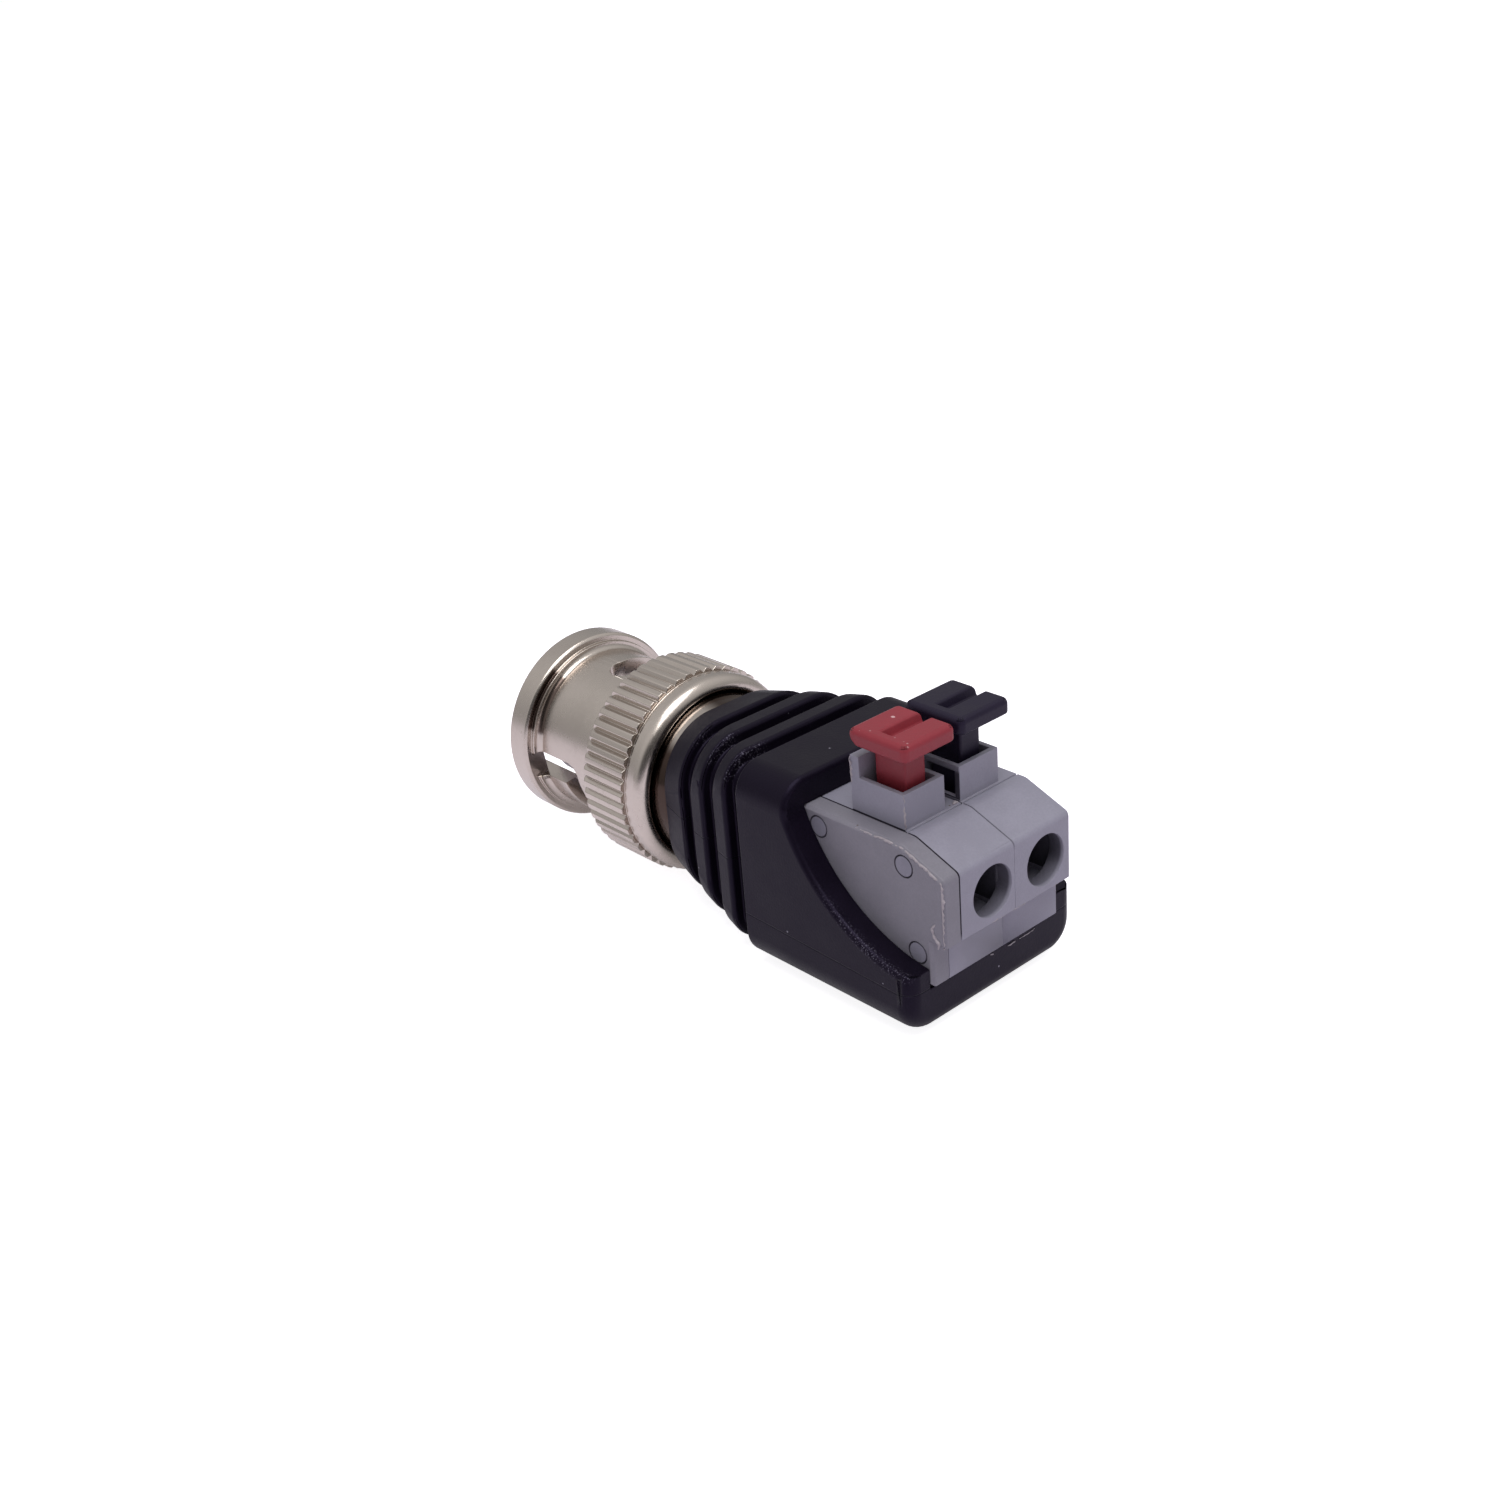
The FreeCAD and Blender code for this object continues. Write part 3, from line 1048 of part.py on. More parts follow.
def make_lead(name, spots):
    """Round wire along corner points, with the same bend at every inner corner."""
    bend = d.lead_bend.number
    edges = []
    start = spots[0]
    for before, corner, after in zip(spots, spots[1:], spots[2:]):
        back = (before - corner).normalize()
        ahead = (after - corner).normalize()
        reach = bend / math.tan(back.getAngle(ahead) / 2)
        towards = (back + ahead).normalize()
        middle = corner + towards * (bend / math.sin(back.getAngle(ahead) / 2) - bend)
        edges.append(Part.makeLine(start, corner + back * reach))
        edges.append(Part.Arc(corner + back * reach, middle, corner + ahead * reach).toShape())
        start = corner + ahead * reach
    edges.append(Part.makeLine(start, spots[-1]))
    path = Part.Wire(edges)
    ring = Part.makeCircle(d.lead_radius.number, spots[0], spots[1] - spots[0])
    lead = doc.addObject("Part::Feature", name)
    lead.Label = name
    lead.Shape = path.makePipeShell([Part.Wire([ring])], True, False)
    lead.Placement = Placement()


def make_leads():
    """Leads from the two solder pins to the centre pin and to the plug body."""
    gap = d.lead_end_gap.number
    height = (trough_floor + d.lead_gap + d.lead_radius).number
    start = -(d.bar_back_at.number - gap)
    turn = -d.lead_turn_at.number
    half_bar = d.bar_inset.number + d.bar_width.number / 2
    cup = -(d.pin_end_at.number - d.wire_in_cup.number)
    x = first_pole.number + half_bar
    before_cup = -(d.pin_end_at.number + d.lead_bend.number + gap)
    make_lead("signal_lead", [Vector(x, start, height), Vector(x, turn, height),
                              Vector(x, turn, 0), Vector(0, before_cup, 0),
                              Vector(0, cup, 0)])
    x = second_pole.number + half_bar
    share = d.ground_offset.number / math.hypot(x, height)
    make_lead("ground_lead", [
        Vector(x, start, height),
        Vector(x, turn, height),
        Vector(x * share, turn, height * share),
        Vector(x * share, -(barrel_end_at.number + gap), height * share),
    ])


make_coupling_sleeve()
make_coupling_rings()
make_plug_body()
make_outer_contact()
make_insulator_and_pin()
make_housing()
make_end_cover()
for colour, left, extra in (("red", first_pole, 0), ("black", second_pole, d.last_pole_extra)):
    make_pole(colour, left, extra, outer=colour == "red")
    make_button(colour, left)
    make_contact_bar(colour, left)
    make_clamp_spring(colour, left)
make_leads()

doc.recompute()
for made in doc.Objects:
    if "Invalid" in made.State or "Error" in made.State:
        raise RuntimeError(f"{made.Name} failed: {made.State}")

os.makedirs("parts", exist_ok=True)
bodies = [o for o in doc.Objects if o.TypeId == "PartDesign::Body"]
plain = [o for o in doc.Objects if o.TypeId == "Part::Feature"]
for made in bodies + plain:
    shape = made.Shape
    if shape.isNull() or not shape.isValid() or len(shape.Solids) != 1:
        raise RuntimeError(f"{made.Label} is not one valid solid")
    shape.exportStep(f"parts/{made.Label}.step")
    box = shape.BoundBox
    print(f"{made.Label:24s} {shape.Volume:9.2f} mm3  x {box.XMin:7.2f} {box.XMax:7.2f}"
          f"  y {box.YMin:7.2f} {box.YMax:7.2f}  z {box.ZMin:7.2f} {box.ZMax:7.2f}")
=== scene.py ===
import math

import bmesh
import bpy
import numpy as np
from bpy.props import FloatProperty, FloatVectorProperty, PointerProperty
from mathutils import Matrix, Vector


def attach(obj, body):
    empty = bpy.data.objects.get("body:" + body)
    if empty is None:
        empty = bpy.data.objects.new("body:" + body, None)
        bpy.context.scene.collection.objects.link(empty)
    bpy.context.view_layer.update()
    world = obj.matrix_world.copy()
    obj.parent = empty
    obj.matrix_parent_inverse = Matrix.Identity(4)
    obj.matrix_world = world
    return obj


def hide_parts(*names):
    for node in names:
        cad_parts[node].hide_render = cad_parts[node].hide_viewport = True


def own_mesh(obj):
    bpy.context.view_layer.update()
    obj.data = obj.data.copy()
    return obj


bl_info = {
    "name": "Bayonet plug with spring terminals",
    "version": (1, 0, 0),
    "blender": (4, 5, 0),
    "location": "3D View > Sidebar > Adapter",
    "description": "Dresses the adapter's solids with edges, mould marks and finishes",
    "category": "Object",
}

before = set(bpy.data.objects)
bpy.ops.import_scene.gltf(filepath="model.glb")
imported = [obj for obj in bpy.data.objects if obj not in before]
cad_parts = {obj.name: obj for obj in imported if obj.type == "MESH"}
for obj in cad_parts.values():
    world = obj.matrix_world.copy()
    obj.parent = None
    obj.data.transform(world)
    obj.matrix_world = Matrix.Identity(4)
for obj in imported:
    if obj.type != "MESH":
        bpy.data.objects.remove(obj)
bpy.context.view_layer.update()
MM = 0.001

# Places on the object, in millimetres; Y is negative behind the mouth

FACE = -43.0  # Y of the poles' front, where the wires enter
FLAT_TOP = 5.30  # Z of the poles' top, round the button sockets
POLE_JOINT = 0.58  # X between the two poles
SOCKET_GAP = 0.60  # X between their button sockets
COVER_JOINT = -4.42  # X between the end cover and the red pole
ENTRY_AXES = (-1.46, 3.54)  # X of the wire entries
ENTRY_HEIGHT = 1.35
ENTRY_RADIUS = 1.77
PEGS = ((-32.54, 4.04), (-39.92, 3.84), (-40.80, -1.92))  # Y and Z of each
PEG_RADIUS = 0.70
CUT_WALL = -31.42  # Y of the cut-away's upright wall
CUT_CENTRE = (-43.0, 9.70)  # Y and Z of the arc behind it
CUT_RADIUS = 12.45
CUT_SPAN = (-41.6, -31.3)  # Y of the arc's ends
BOX_HALVES = (7.86, 7.18)  # half of the box's width and height
BOX_CORNER = 2.15
BOX_FRONT = -26.6
RIBS_END = -27.0
WAIST_RADIUS = 5.3  # everything on a rib is further out
RIB_EDGE = -19.76  # Y of one rib's rear edge
RIB_LAP = (-18.44, -21.26)  # Y of that rib's ends, and so the ribs' pitch
SEAM_ON_RIBS = (0.134, 3.21)  # slope and height of the seam's line
SEAM_ON_BOX = (0.033, -2.66)

# Colours that no setting changes

# Dark joints, and painted shade in the wire entries and between the sockets
JOINT_AND_SHADE_COLOUR = (0.020, 0.017, 0.028)
SEAM_COLOUR = (0.002, 0.0015, 0.004)
RUBBED_COLOUR = (0.13, 0.12, 0.16)


def colour_property(name, description, default):
    """A colour in linear light, with a picker in the panel."""
    return FloatVectorProperty(name=name, description=description, default=default,
                               subtype="COLOR", size=3, min=0, max=1)


def length_property(name, description, millimetres):
    """A length, kept in metres."""
    return FloatProperty(name=name, description=description, default=millimetres * MM,
                         min=0, unit="LENGTH", subtype="DISTANCE", precision=6)


def share_property(name, description, default):
    """A number from 0 to 1."""
    return FloatProperty(name=name, description=description, default=default,
                         min=0, max=1, subtype="FACTOR")


class NickelSettings(bpy.types.PropertyGroup):
    """Plated metal of the coupling and the plug body."""
    colour: colour_property("Nickel", "Clean plating", (0.545, 0.485, 0.440))
    # Tarnish in faint blotches, and the colour of the painted dark reflections on rim and
    # shoulder
    tarnish_and_dark_reflection: colour_property("Tarnish", "Dark brown film in corners", (0.085, 0.055, 0.045))
    roughness: share_property("Roughness", "Polish of the plating", 0.24)
    edge: length_property("Edge", "Rounding of the turned edges", 0.05)


class HousingSettings(bpy.types.PropertyGroup):
    """Black moulding over the plug body and round the terminal block."""
    colour: colour_property("Housing", "Black plastic", (0.0046, 0.0030, 0.0072))
    roughness: share_property("Roughness", "Satin of the moulding", 0.36)
    edge: length_property("Edge", "Rounding of the moulded edges", 0.40)
    seam: length_property("Seam", "Half width of the mould seam's line", 0.05)


class BlockSettings(bpy.types.PropertyGroup):
    """Grey terminal block with its end cover."""
    colour: colour_property("Block", "Grey plastic", (0.265, 0.255, 0.318))
    cover: colour_property("Cover", "Warmer grey of the end cover", (0.205, 0.195, 0.232))
    roughness: share_property("Roughness", "Satin of the block", 0.42)
    edge: length_property("Edge", "Rounding of the block's edges", 0.05)
    flash: colour_property("Flash", "Pale torn plastic along the mould's joint",
                           (0.33, 0.295, 0.325))


class ButtonSettings(bpy.types.PropertyGroup):
    """The two push buttons."""
    red: colour_property("Red button", "Red plastic", (0.245, 0.027, 0.040))
    black: colour_property("Black button", "Black plastic", (0.0095, 0.0065, 0.0180))
    edge: length_property("Edge", "Rounding of the buttons' edges", 0.17)


class StageSettings(bpy.types.PropertyGroup):
    """Camera, floor and light."""
    lens: FloatProperty(name="Lens", description="Focal length on a 36 mm sensor",
                        default=45.43, min=1, unit="CAMERA")
    key: FloatProperty(name="Key lamp", description="Power of the soft lamp overhead",
                       default=0.68, min=0, unit="POWER")
    fill: FloatProperty(name="Fill", description="Strength of the light from all round",
                        default=0.42, min=0)
    floor: colour_property("Floor", "Pale floor", (0.80, 0.75, 0.85))


class AdapterSettings(bpy.types.PropertyGroup):
    """Everything that a user would change."""
    nickel: PointerProperty(type=NickelSettings)
    housing: PointerProperty(type=HousingSettings)
    block: PointerProperty(type=BlockSettings)
    buttons: PointerProperty(type=ButtonSettings)
    stage: PointerProperty(type=StageSettings)


# Node trees

def node(tree, kind, sockets=None, **settings):
    """Adds a shader node, sets its settings, and fills its sockets with numbers or links."""
    made = tree.nodes.new("ShaderNode" + kind)
    for name, value in settings.items():
        setattr(made, name, value)
    for name, value in (sockets or {}).items():
        target = made.inputs[name]
        if isinstance(value, bpy.types.NodeSocket):
            tree.links.new(value, target)
        else:
            target.default_value = value
    return made


def maths(tree, operation, first, second=0.0, third=0.0):
    """One arithmetic step, with its result's socket."""
    made = node(tree, "Math", {0: first, 1: second, 2: third}, operation=operation)
    return made.outputs[0]


def product(tree, first, *others):
    """All the values multiplied."""
    for other in others:
        first = maths(tree, "MULTIPLY", first, other)
    return first


def largest(tree, first, *others):
    """The largest of the values."""
    for other in others:
        first = maths(tree, "MAXIMUM", first, other)
    return first


def away_from(tree, value, place):
    """Distance of a value from a place."""
    return maths(tree, "ABSOLUTE", maths(tree, "SUBTRACT", value, place))


def diagonal(tree, first, second):
    """Length of the diagonal over two sides."""
    return maths(tree, "SQRT", maths(tree, "ADD", product(tree, first, first),
                                     product(tree, second, second)))


def mix_colours(tree, share, first, second):
    """Colour between first and second, by the share of the second."""
    made = node(tree, "Mix", data_type="RGBA")
    for socket, value in ((made.inputs[0], share), (made.inputs[6], first),
                          (made.inputs[7], second)):
        if isinstance(value, bpy.types.NodeSocket):
            tree.links.new(value, socket)
        elif socket == made.inputs[0]:
            socket.default_value = value
        else:
            socket.default_value = (*value, 1.0)
    return made.outputs[2]


def ramp(tree, value, low, high, start=0.0, end=1.0):
    """Value from low to high, eased and mapped to start and end."""
    made = node(tree, "MapRange", {"Value": value, "From Min": low, "From Max": high,
                                   "To Min": start, "To Max": end},
                interpolation_type="SMOOTHSTEP")
    return made.outputs["Result"]


def new_group(name, inputs, outputs):
    """Empty shader group with float sockets; returns the group, its input and output node."""
    group = bpy.data.node_groups.new(name, "ShaderNodeTree")
    for label, default in inputs:
        socket = group.interface.new_socket(name=label, in_out="INPUT",
                                            socket_type="NodeSocketFloat")
        socket.default_value = default
    for label in outputs:
        group.interface.new_socket(name=label, in_out="OUTPUT", socket_type="NodeSocketFloat")
    return group, group.nodes.new("NodeGroupInput"), group.nodes.new("NodeGroupOutput")


def place_group():
    """Place on the turned parts: distance from the axis, distance along it, and angle."""
    group, _, given = new_group("place_on_axis", [], ["Radius", "Along", "Angle"])
    where = node(group, "TexCoord").outputs["Object"]
    across, along, up = node(group, "SeparateXYZ", {0: where}).outputs
    group.links.new(diagonal(group, across, up), given.inputs["Radius"])
    group.links.new(along, given.inputs["Along"])
    group.links.new(maths(group, "ARCTAN2", up, across), given.inputs["Angle"])
    return group


def specks_group():
    """Mask of scattered small specks: cells of a Voronoi pattern whose centre is near."""
    group, taken, given = new_group("specks", [("Scale", 900.0), ("Share", 0.1),
                                               ("Size", 0.2)], ["Mask"])
    where = node(group, "TexCoord").outputs["Object"]
    cells = node(group, "TexVoronoi", {"Vector": where, "Scale": taken.outputs["Scale"]})
    near = maths(group, "LESS_THAN", cells.outputs["Distance"], taken.outputs["Size"])
    pick = node(group, "TexWhiteNoise", {"Vector": cells.outputs["Position"]},
                noise_dimensions="3D")
    chosen = maths(group, "LESS_THAN", pick.outputs["Value"], taken.outputs["Share"])
    group.links.new(product(group, near, chosen), given.inputs["Mask"])
    return group


def grain_group():
    """Height of a moulded or plated surface: broad waves and fine grain added together."""
    group, taken, given = new_group("surface_grain", [("Broad", 300.0), ("Fine", 4000.0),
                                                      ("Fine Share", 0.4)], ["Height"])
    where = node(group, "TexCoord").outputs["Object"]
    broad = node(group, "TexNoise", {"Vector": where, "Scale": taken.outputs["Broad"],
                                     "Detail": 3.0})
    fine = node(group, "TexNoise", {"Vector": where, "Scale": taken.outputs["Fine"],
                                    "Detail": 2.0})
    scaled = product(group, fine.outputs["Fac"], taken.outputs["Fine Share"])
    group.links.new(maths(group, "ADD", broad.outputs["Fac"], scaled),
                    given.inputs["Height"])
    return group


def use_group(tree, name, make, sockets=None):
    """A node for the shared group of that name, made when it is first needed."""
    group = bpy.data.node_groups.get(name) or make()
    made = tree.nodes.new("ShaderNodeGroup")
    made.node_tree = group
    for label, value in (sockets or {}).items():
        made.inputs[label].default_value = value
    return made


def new_material(name, colour):
    """Material with an empty tree but for one Principled shader."""
    material = bpy.data.materials.new(name)
    material.use_nodes = True
    material.diffuse_color = (*colour, 1.0)
    tree = material.node_tree
    shader = tree.nodes["Principled BSDF"]
    return material, tree, shader


def bump(tree, shader, height, distance, strength=1.0):
    """Raises the surface by a height from 0 to 1, times a distance in metres."""
    made = node(tree, "Bump", {"Height": height, "Distance": distance,
                               "Strength": strength})
    tree.links.new(made.outputs["Normal"], shader.inputs["Normal"])


def plated_metal(name, colour, dull, roughness, painted_reflections=(), fade=2):
    """Plating with a duller colour in faint blotches, and painted dark reflections along the
    axis.

    A painted reflection is (start, full, end, share): lengths behind the mouth in
    millimetres, from which it fades in and where it stops, and its share of the dull colour.
    Two more numbers, in degrees round the axis from +X over the top, limit it to a sector,
    over whose ends it fades by that many degrees.
    """
    material, tree, shader = new_material(name, colour)
    shader.inputs["Metallic"].default_value = 1.0
    place = use_group(tree, "place_on_axis", place_group)
    grain = use_group(tree, "surface_grain", grain_group, {"Broad": 260.0, "Fine": 2600.0})
    dullness = product(tree, ramp(tree, grain.outputs["Height"], 0.60, 1.05), 0.10)
    along, turned = place.outputs["Along"], place.outputs["Angle"]
    soft = math.radians(fade)
    # Painted dark reflections: bands along the axis, each limited to a sector where one is
    # given
    for start, full, end, share, *sector in painted_reflections:
        inside = product(tree, ramp(tree, along, -start * MM, -full * MM),
                         ramp(tree, along, -end * MM, -(end - 0.05) * MM))
        if sector:
            first, last = (math.radians(angle) for angle in sector)
            inside = product(tree, inside, ramp(tree, turned, first - soft, first + soft),
                             ramp(tree, turned, last + soft, last - soft))
        dullness = largest(tree, dullness, product(tree, inside, share))
    tree.links.new(mix_colours(tree, dullness, colour, dull), shader.inputs["Base Color"])
    tree.links.new(ramp(tree, grain.outputs["Height"], 0.3, 1.1,
                        roughness - 0.03, roughness + 0.07), shader.inputs["Roughness"])
    bump(tree, shader, grain.outputs["Height"], 0.0022 * MM)
    return material


def moulded_plastic(name, colour, roughness, dust, speck_colour, speck_share,
                    chips_and_highlights=(), gloss=0.5, sheen=(1, 1, 1)):
    """Satin moulding with grain, a pale bloom in blotches, a few specks, torn spots and
    painted highlights.

    Each of chips_and_highlights is (x, y, z, radius, share): a pale spot with a ragged edge,
    in millimetres, and how pale it is; the housing's one is a painted highlight, the others
    are torn spots. gloss is how strongly the surface mirrors, and sheen the colour of that
    mirror image.
    """
    material, tree, shader = new_material(name, colour)
    shader.inputs["Specular IOR Level"].default_value = gloss
    shader.inputs["Specular Tint"].default_value = (*sheen, 1)
    grain = use_group(tree, "surface_grain", grain_group, {"Broad": 420.0, "Fine": 6500.0,
                                                             "Fine Share": 0.6})
    specks = use_group(tree, "specks", specks_group,
                       {"Scale": 2100.0, "Share": speck_share, "Size": 0.15})
    bloom = ramp(tree, grain.outputs["Height"], 0.60, 1.10, 0.0, dust)
    pale = tuple(min(1.0, c * 1.4) for c in colour)
    base = mix_colours(tree, bloom, colour, pale)
    torn = specks.outputs["Mask"]
    where = node(tree, "TexCoord").outputs["Object"]
    for x, y, z, radius, share in chips_and_highlights:
        apart = node(tree, "VectorMath", {0: where, 1: (x * MM, y * MM, z * MM)},
                     operation="DISTANCE").outputs["Value"]
        ragged = product(tree, grain.outputs["Height"], radius * MM)
        chip_and_highlight = maths(tree, "LESS_THAN", maths(tree, "ADD", apart, ragged),
                     1.35 * radius * MM)
        torn = largest(tree, torn, product(tree, chip_and_highlight, share))
    tree.links.new(mix_colours(tree, torn, base, speck_colour), shader.inputs["Base Color"])
    tree.links.new(ramp(tree, grain.outputs["Height"], 0.3, 1.1,
                        roughness - 0.06, roughness + 0.08), shader.inputs["Roughness"])
    bump(tree, shader, grain.outputs["Height"], 0.014 * MM)
    return material


def seam_group():
    """Mask of the mould's seam: a thin line that steps down from the ribs to the box.

    Its height is a straight line over the distance from the mouth, one for the ribs and
    one for the box, and the mask is how near the surface is to that height.
    """
    group, taken, given = new_group("mould_seam", [("Half Width", 0.05 * MM)], ["Mask"])
    where = node(group, "TexCoord").outputs["Object"]
    split = node(group, "SeparateXYZ", {0: where}).outputs
    ribs, box = (maths(group, "MULTIPLY_ADD", split["Y"], slope, height * MM)
                 for slope, height in (SEAM_ON_RIBS, SEAM_ON_BOX))
    on_box = maths(group, "LESS_THAN", split["Y"], BOX_FRONT * MM)
    line = node(group, "Mix", {0: on_box, 2: ribs, 3: box}).outputs[0]
    away = away_from(group, split["Z"], line)
    share = maths(group, "DIVIDE", away, taken.outputs["Half Width"])
    group.links.new(ramp(group, share, 1.3, 0.5), given.inputs["Mask"])
    return group


def rubbed_group():
    """Mask of rubbed spots along the swept edge of the side walls and on the ribs' corners.

    The swept edge is an arc seen from the side, so its mask is a band of distances past
    the arc, near the box's two sides and low down. The ribs' rear edges repeat along the
    axis, so theirs is the distance from one edge, wrapped by the pitch, at the upper left
    corner. Fine noise breaks up both.
    """
    group, _, given = new_group("rubbed_edge", [], ["Mask"])
    where = node(group, "TexCoord").outputs["Object"]
    split = node(group, "SeparateXYZ", {0: where}).outputs
    along, up = (maths(group, "SUBTRACT", split[side], place * MM)
                 for side, place in zip("YZ", CUT_CENTRE))
    past = maths(group, "SUBTRACT", diagonal(group, along, up), CUT_RADIUS * MM)
    swept = product(group, ramp(group, past, -0.10 * MM, 0.05 * MM),
                    ramp(group, past, 0.65 * MM, 0.20 * MM),
                    ramp(group, maths(group, "ABSOLUTE", split["X"]), 7.0 * MM, 7.6 * MM),
                    ramp(group, split["Y"], -33.0 * MM, -38.0 * MM))
    lap = maths(group, "WRAP", split["Y"], *(end * MM for end in RIB_LAP))
    worn = product(group,
                   ramp(group, away_from(group, lap, RIB_EDGE * MM), 0.20 * MM, 0.08 * MM),
                   ramp(group, split["Z"], 5.2 * MM, 5.8 * MM),
                   ramp(group, split["X"], -3.2 * MM, -4.2 * MM),
                   ramp(group, split["Y"], (BOX_FRONT + 0.1) * MM, (BOX_FRONT + 0.4) * MM))
    noise = node(group, "TexNoise", {"Vector": where, "Scale": 9000.0, "Detail": 3.0})
    spots = ramp(group, noise.outputs["Fac"], 0.56, 0.66)
    group.links.new(product(group, largest(group, swept, worn), spots), given.inputs["Mask"])
    return group


def housing_plastic(look):
    """Black moulding with the mould's seam and the rubbed edge of the side walls."""
    # The pale spot at the cut-away's corner is a painted highlight
    material = moulded_plastic("black_moulding", look.colour[:], look.roughness, 0.6,
                               (0.20, 0.19, 0.23), 0.010, HOUSING_HIGHLIGHT_SPOT, gloss=0.15,
                               sheen=(0.70, 0.60, 1.0))
    tree = material.node_tree
    shader = tree.nodes["Principled BSDF"]
    base = shader.inputs["Base Color"].links[0].from_socket
    seam = use_group(tree, "mould_seam", seam_group)
    seam.inputs["Half Width"].default_value = look.seam
    rubbed = use_group(tree, "rubbed_edge", rubbed_group)
    lined = mix_colours(tree, seam.outputs["Mask"], base, SEAM_COLOUR)
    share = product(tree, rubbed.outputs["Mask"], 0.7)
    tree.links.new(mix_colours(tree, share, lined, RUBBED_COLOUR),
                   shader.inputs["Base Color"])
    relief = shader.inputs["Normal"].links[0].from_node.inputs["Height"]
    grain = relief.links[0].from_socket
    sunk = product(tree, seam.outputs["Mask"], 3.0)
    tree.links.new(maths(tree, "SUBTRACT", grain, sunk), relief)
    return material


# Dark joints: place, the heights between which a joint fades in, and how dark it is
JOINT_LINES = ((COVER_JOINT, -0.9, -0.3, 1.0), (POLE_JOINT, 3.2, 4.1, 0.5))


def joints_mask(tree, x, z):
    """Mask of the dark joints between the block's pieces, up to the flat top."""
    below_top = ramp(tree, z, (FLAT_TOP + 0.02) * MM, (FLAT_TOP - 0.02) * MM)
    lines = 0.0
    for at, none_below, full_above, share in JOINT_LINES:
        away = away_from(tree, x, at * MM)
        line = product(tree, ramp(tree, away, 0.080 * MM, 0.045 * MM),
                       ramp(tree, z, none_below * MM, full_above * MM), share)
        lines = largest(tree, line, lines)
    return product(tree, below_top, lines)


def entries_shade_mask(tree, x, y, z):
    """Mask of painted shade in the wire entries.

    Their round wall is painted darker inwards but for its lowest part, and all behind it is
    painted dark.
    """
    behind = ramp(tree, y, (FACE + 1.02) * MM, (FACE + 1.14) * MM, 0.0, 0.84)
    inwards = product(tree, ramp(tree, y, FACE * MM, (FACE + 0.25) * MM),
                      ramp(tree, z, 0.0, 0.9 * MM, 0.42, 0.75))
    up = away_from(tree, z, ENTRY_HEIGHT * MM)
    dark = 0.0
    for axis in ENTRY_AXES:
        aside = away_from(tree, x, axis * MM)
        near = maths(tree, "LESS_THAN", largest(tree, aside, up), 2.0 * MM)
        within = maths(tree, "LESS_THAN", diagonal(tree, aside, up),
                       (ENTRY_RADIUS + 0.06) * MM)
        dark = largest(tree, product(tree, near, behind), product(tree, within, inwards),
                       dark)
    return dark


def socket_gap_shade_mask(tree, x, z):
    """Mask of painted shade between the two button sockets, fainter towards its top."""
    between = maths(tree, "LESS_THAN", away_from(tree, x, SOCKET_GAP * MM), 0.04 * MM)
    return product(tree, between, ramp(tree, z, FLAT_TOP * MM, (FLAT_TOP + 0.06) * MM),
                   ramp(tree, z, 7.45 * MM, 7.10 * MM, 0.35, 0.9))


def pegs_mask(tree, x, y, z):
    """Mask of the gap round each of the end cover's pegs, with a faint share on the peg."""
    outer = maths(tree, "LESS_THAN", x, -5.0 * MM)
    dark = 0.0
    for along, up in PEGS:
        away = diagonal(tree, maths(tree, "SUBTRACT", y, along * MM),
                        maths(tree, "SUBTRACT", z, up * MM))
        peg = product(tree, outer,
                      ramp(tree, away, (PEG_RADIUS - 0.06) * MM, (PEG_RADIUS - 0.01) * MM,
                           0.18, 0.74),
                      maths(tree, "LESS_THAN", away, (PEG_RADIUS + 0.09) * MM))
        dark = largest(tree, peg, dark)
    return dark


def block_plastic(name, colour, roughness):
    """Grey moulding with dark joints and peg gaps, and painted shade in the entries and
    sockets' gap.
    """
    material = moulded_plastic(name, colour, roughness, 0.3, (0.12, 0.10, 0.10), 0.006,
                               gloss=0.3)
    tree = material.node_tree
    shader = tree.nodes["Principled BSDF"]
    base = shader.inputs["Base Color"].links[0].from_socket
    where = node(tree, "TexCoord").outputs["Object"]
    x, y, z = node(tree, "SeparateXYZ", {0: where}).outputs
    dark = largest(tree, joints_mask(tree, x, z), entries_shade_mask(tree, x, y, z),
                   socket_gap_shade_mask(tree, x, z), pegs_mask(tree, x, y, z))
    tree.links.new(mix_colours(tree, dark, base, JOINT_AND_SHADE_COLOUR),
                   shader.inputs["Base Color"])
    return material


def give_material(piece, material):
    """Puts one material on a piece or CAD node, in all its slots."""
    if not piece.material_slots:
        piece.data.materials.append(material)
    for held in piece.material_slots:
        held.link = "OBJECT"
        held.material = material


# Meshes

def edge_weights(shape, angle, weigh):
    """Share of the rounding for each edge: none below the angle, else what weigh gives.

    weigh takes the edges' middles, one row each, in millimetres. Where it gives none the
    edge stays sharp.
    """
    layer = shape.edges.layers.float.new("bevel_weight_edge")
    sharp = [e for e in shape.edges
             if len(e.link_faces) == 2 and e.calc_face_angle(0) > math.radians(angle)]
    middles = np.array([(e.verts[0].co + e.verts[1].co) / (2 * MM) for e in sharp])
    for edge, share in zip(sharp, weigh(middles)):
        edge[layer] = share
        edge.smooth = bool(share > 0)


def every_edge(middles):
    """The same rounding everywhere."""
    return np.ones(len(middles))


MERGED_WITHIN = 0.0015  # millimetres
FLAT_WITHIN = 0.4  # degrees


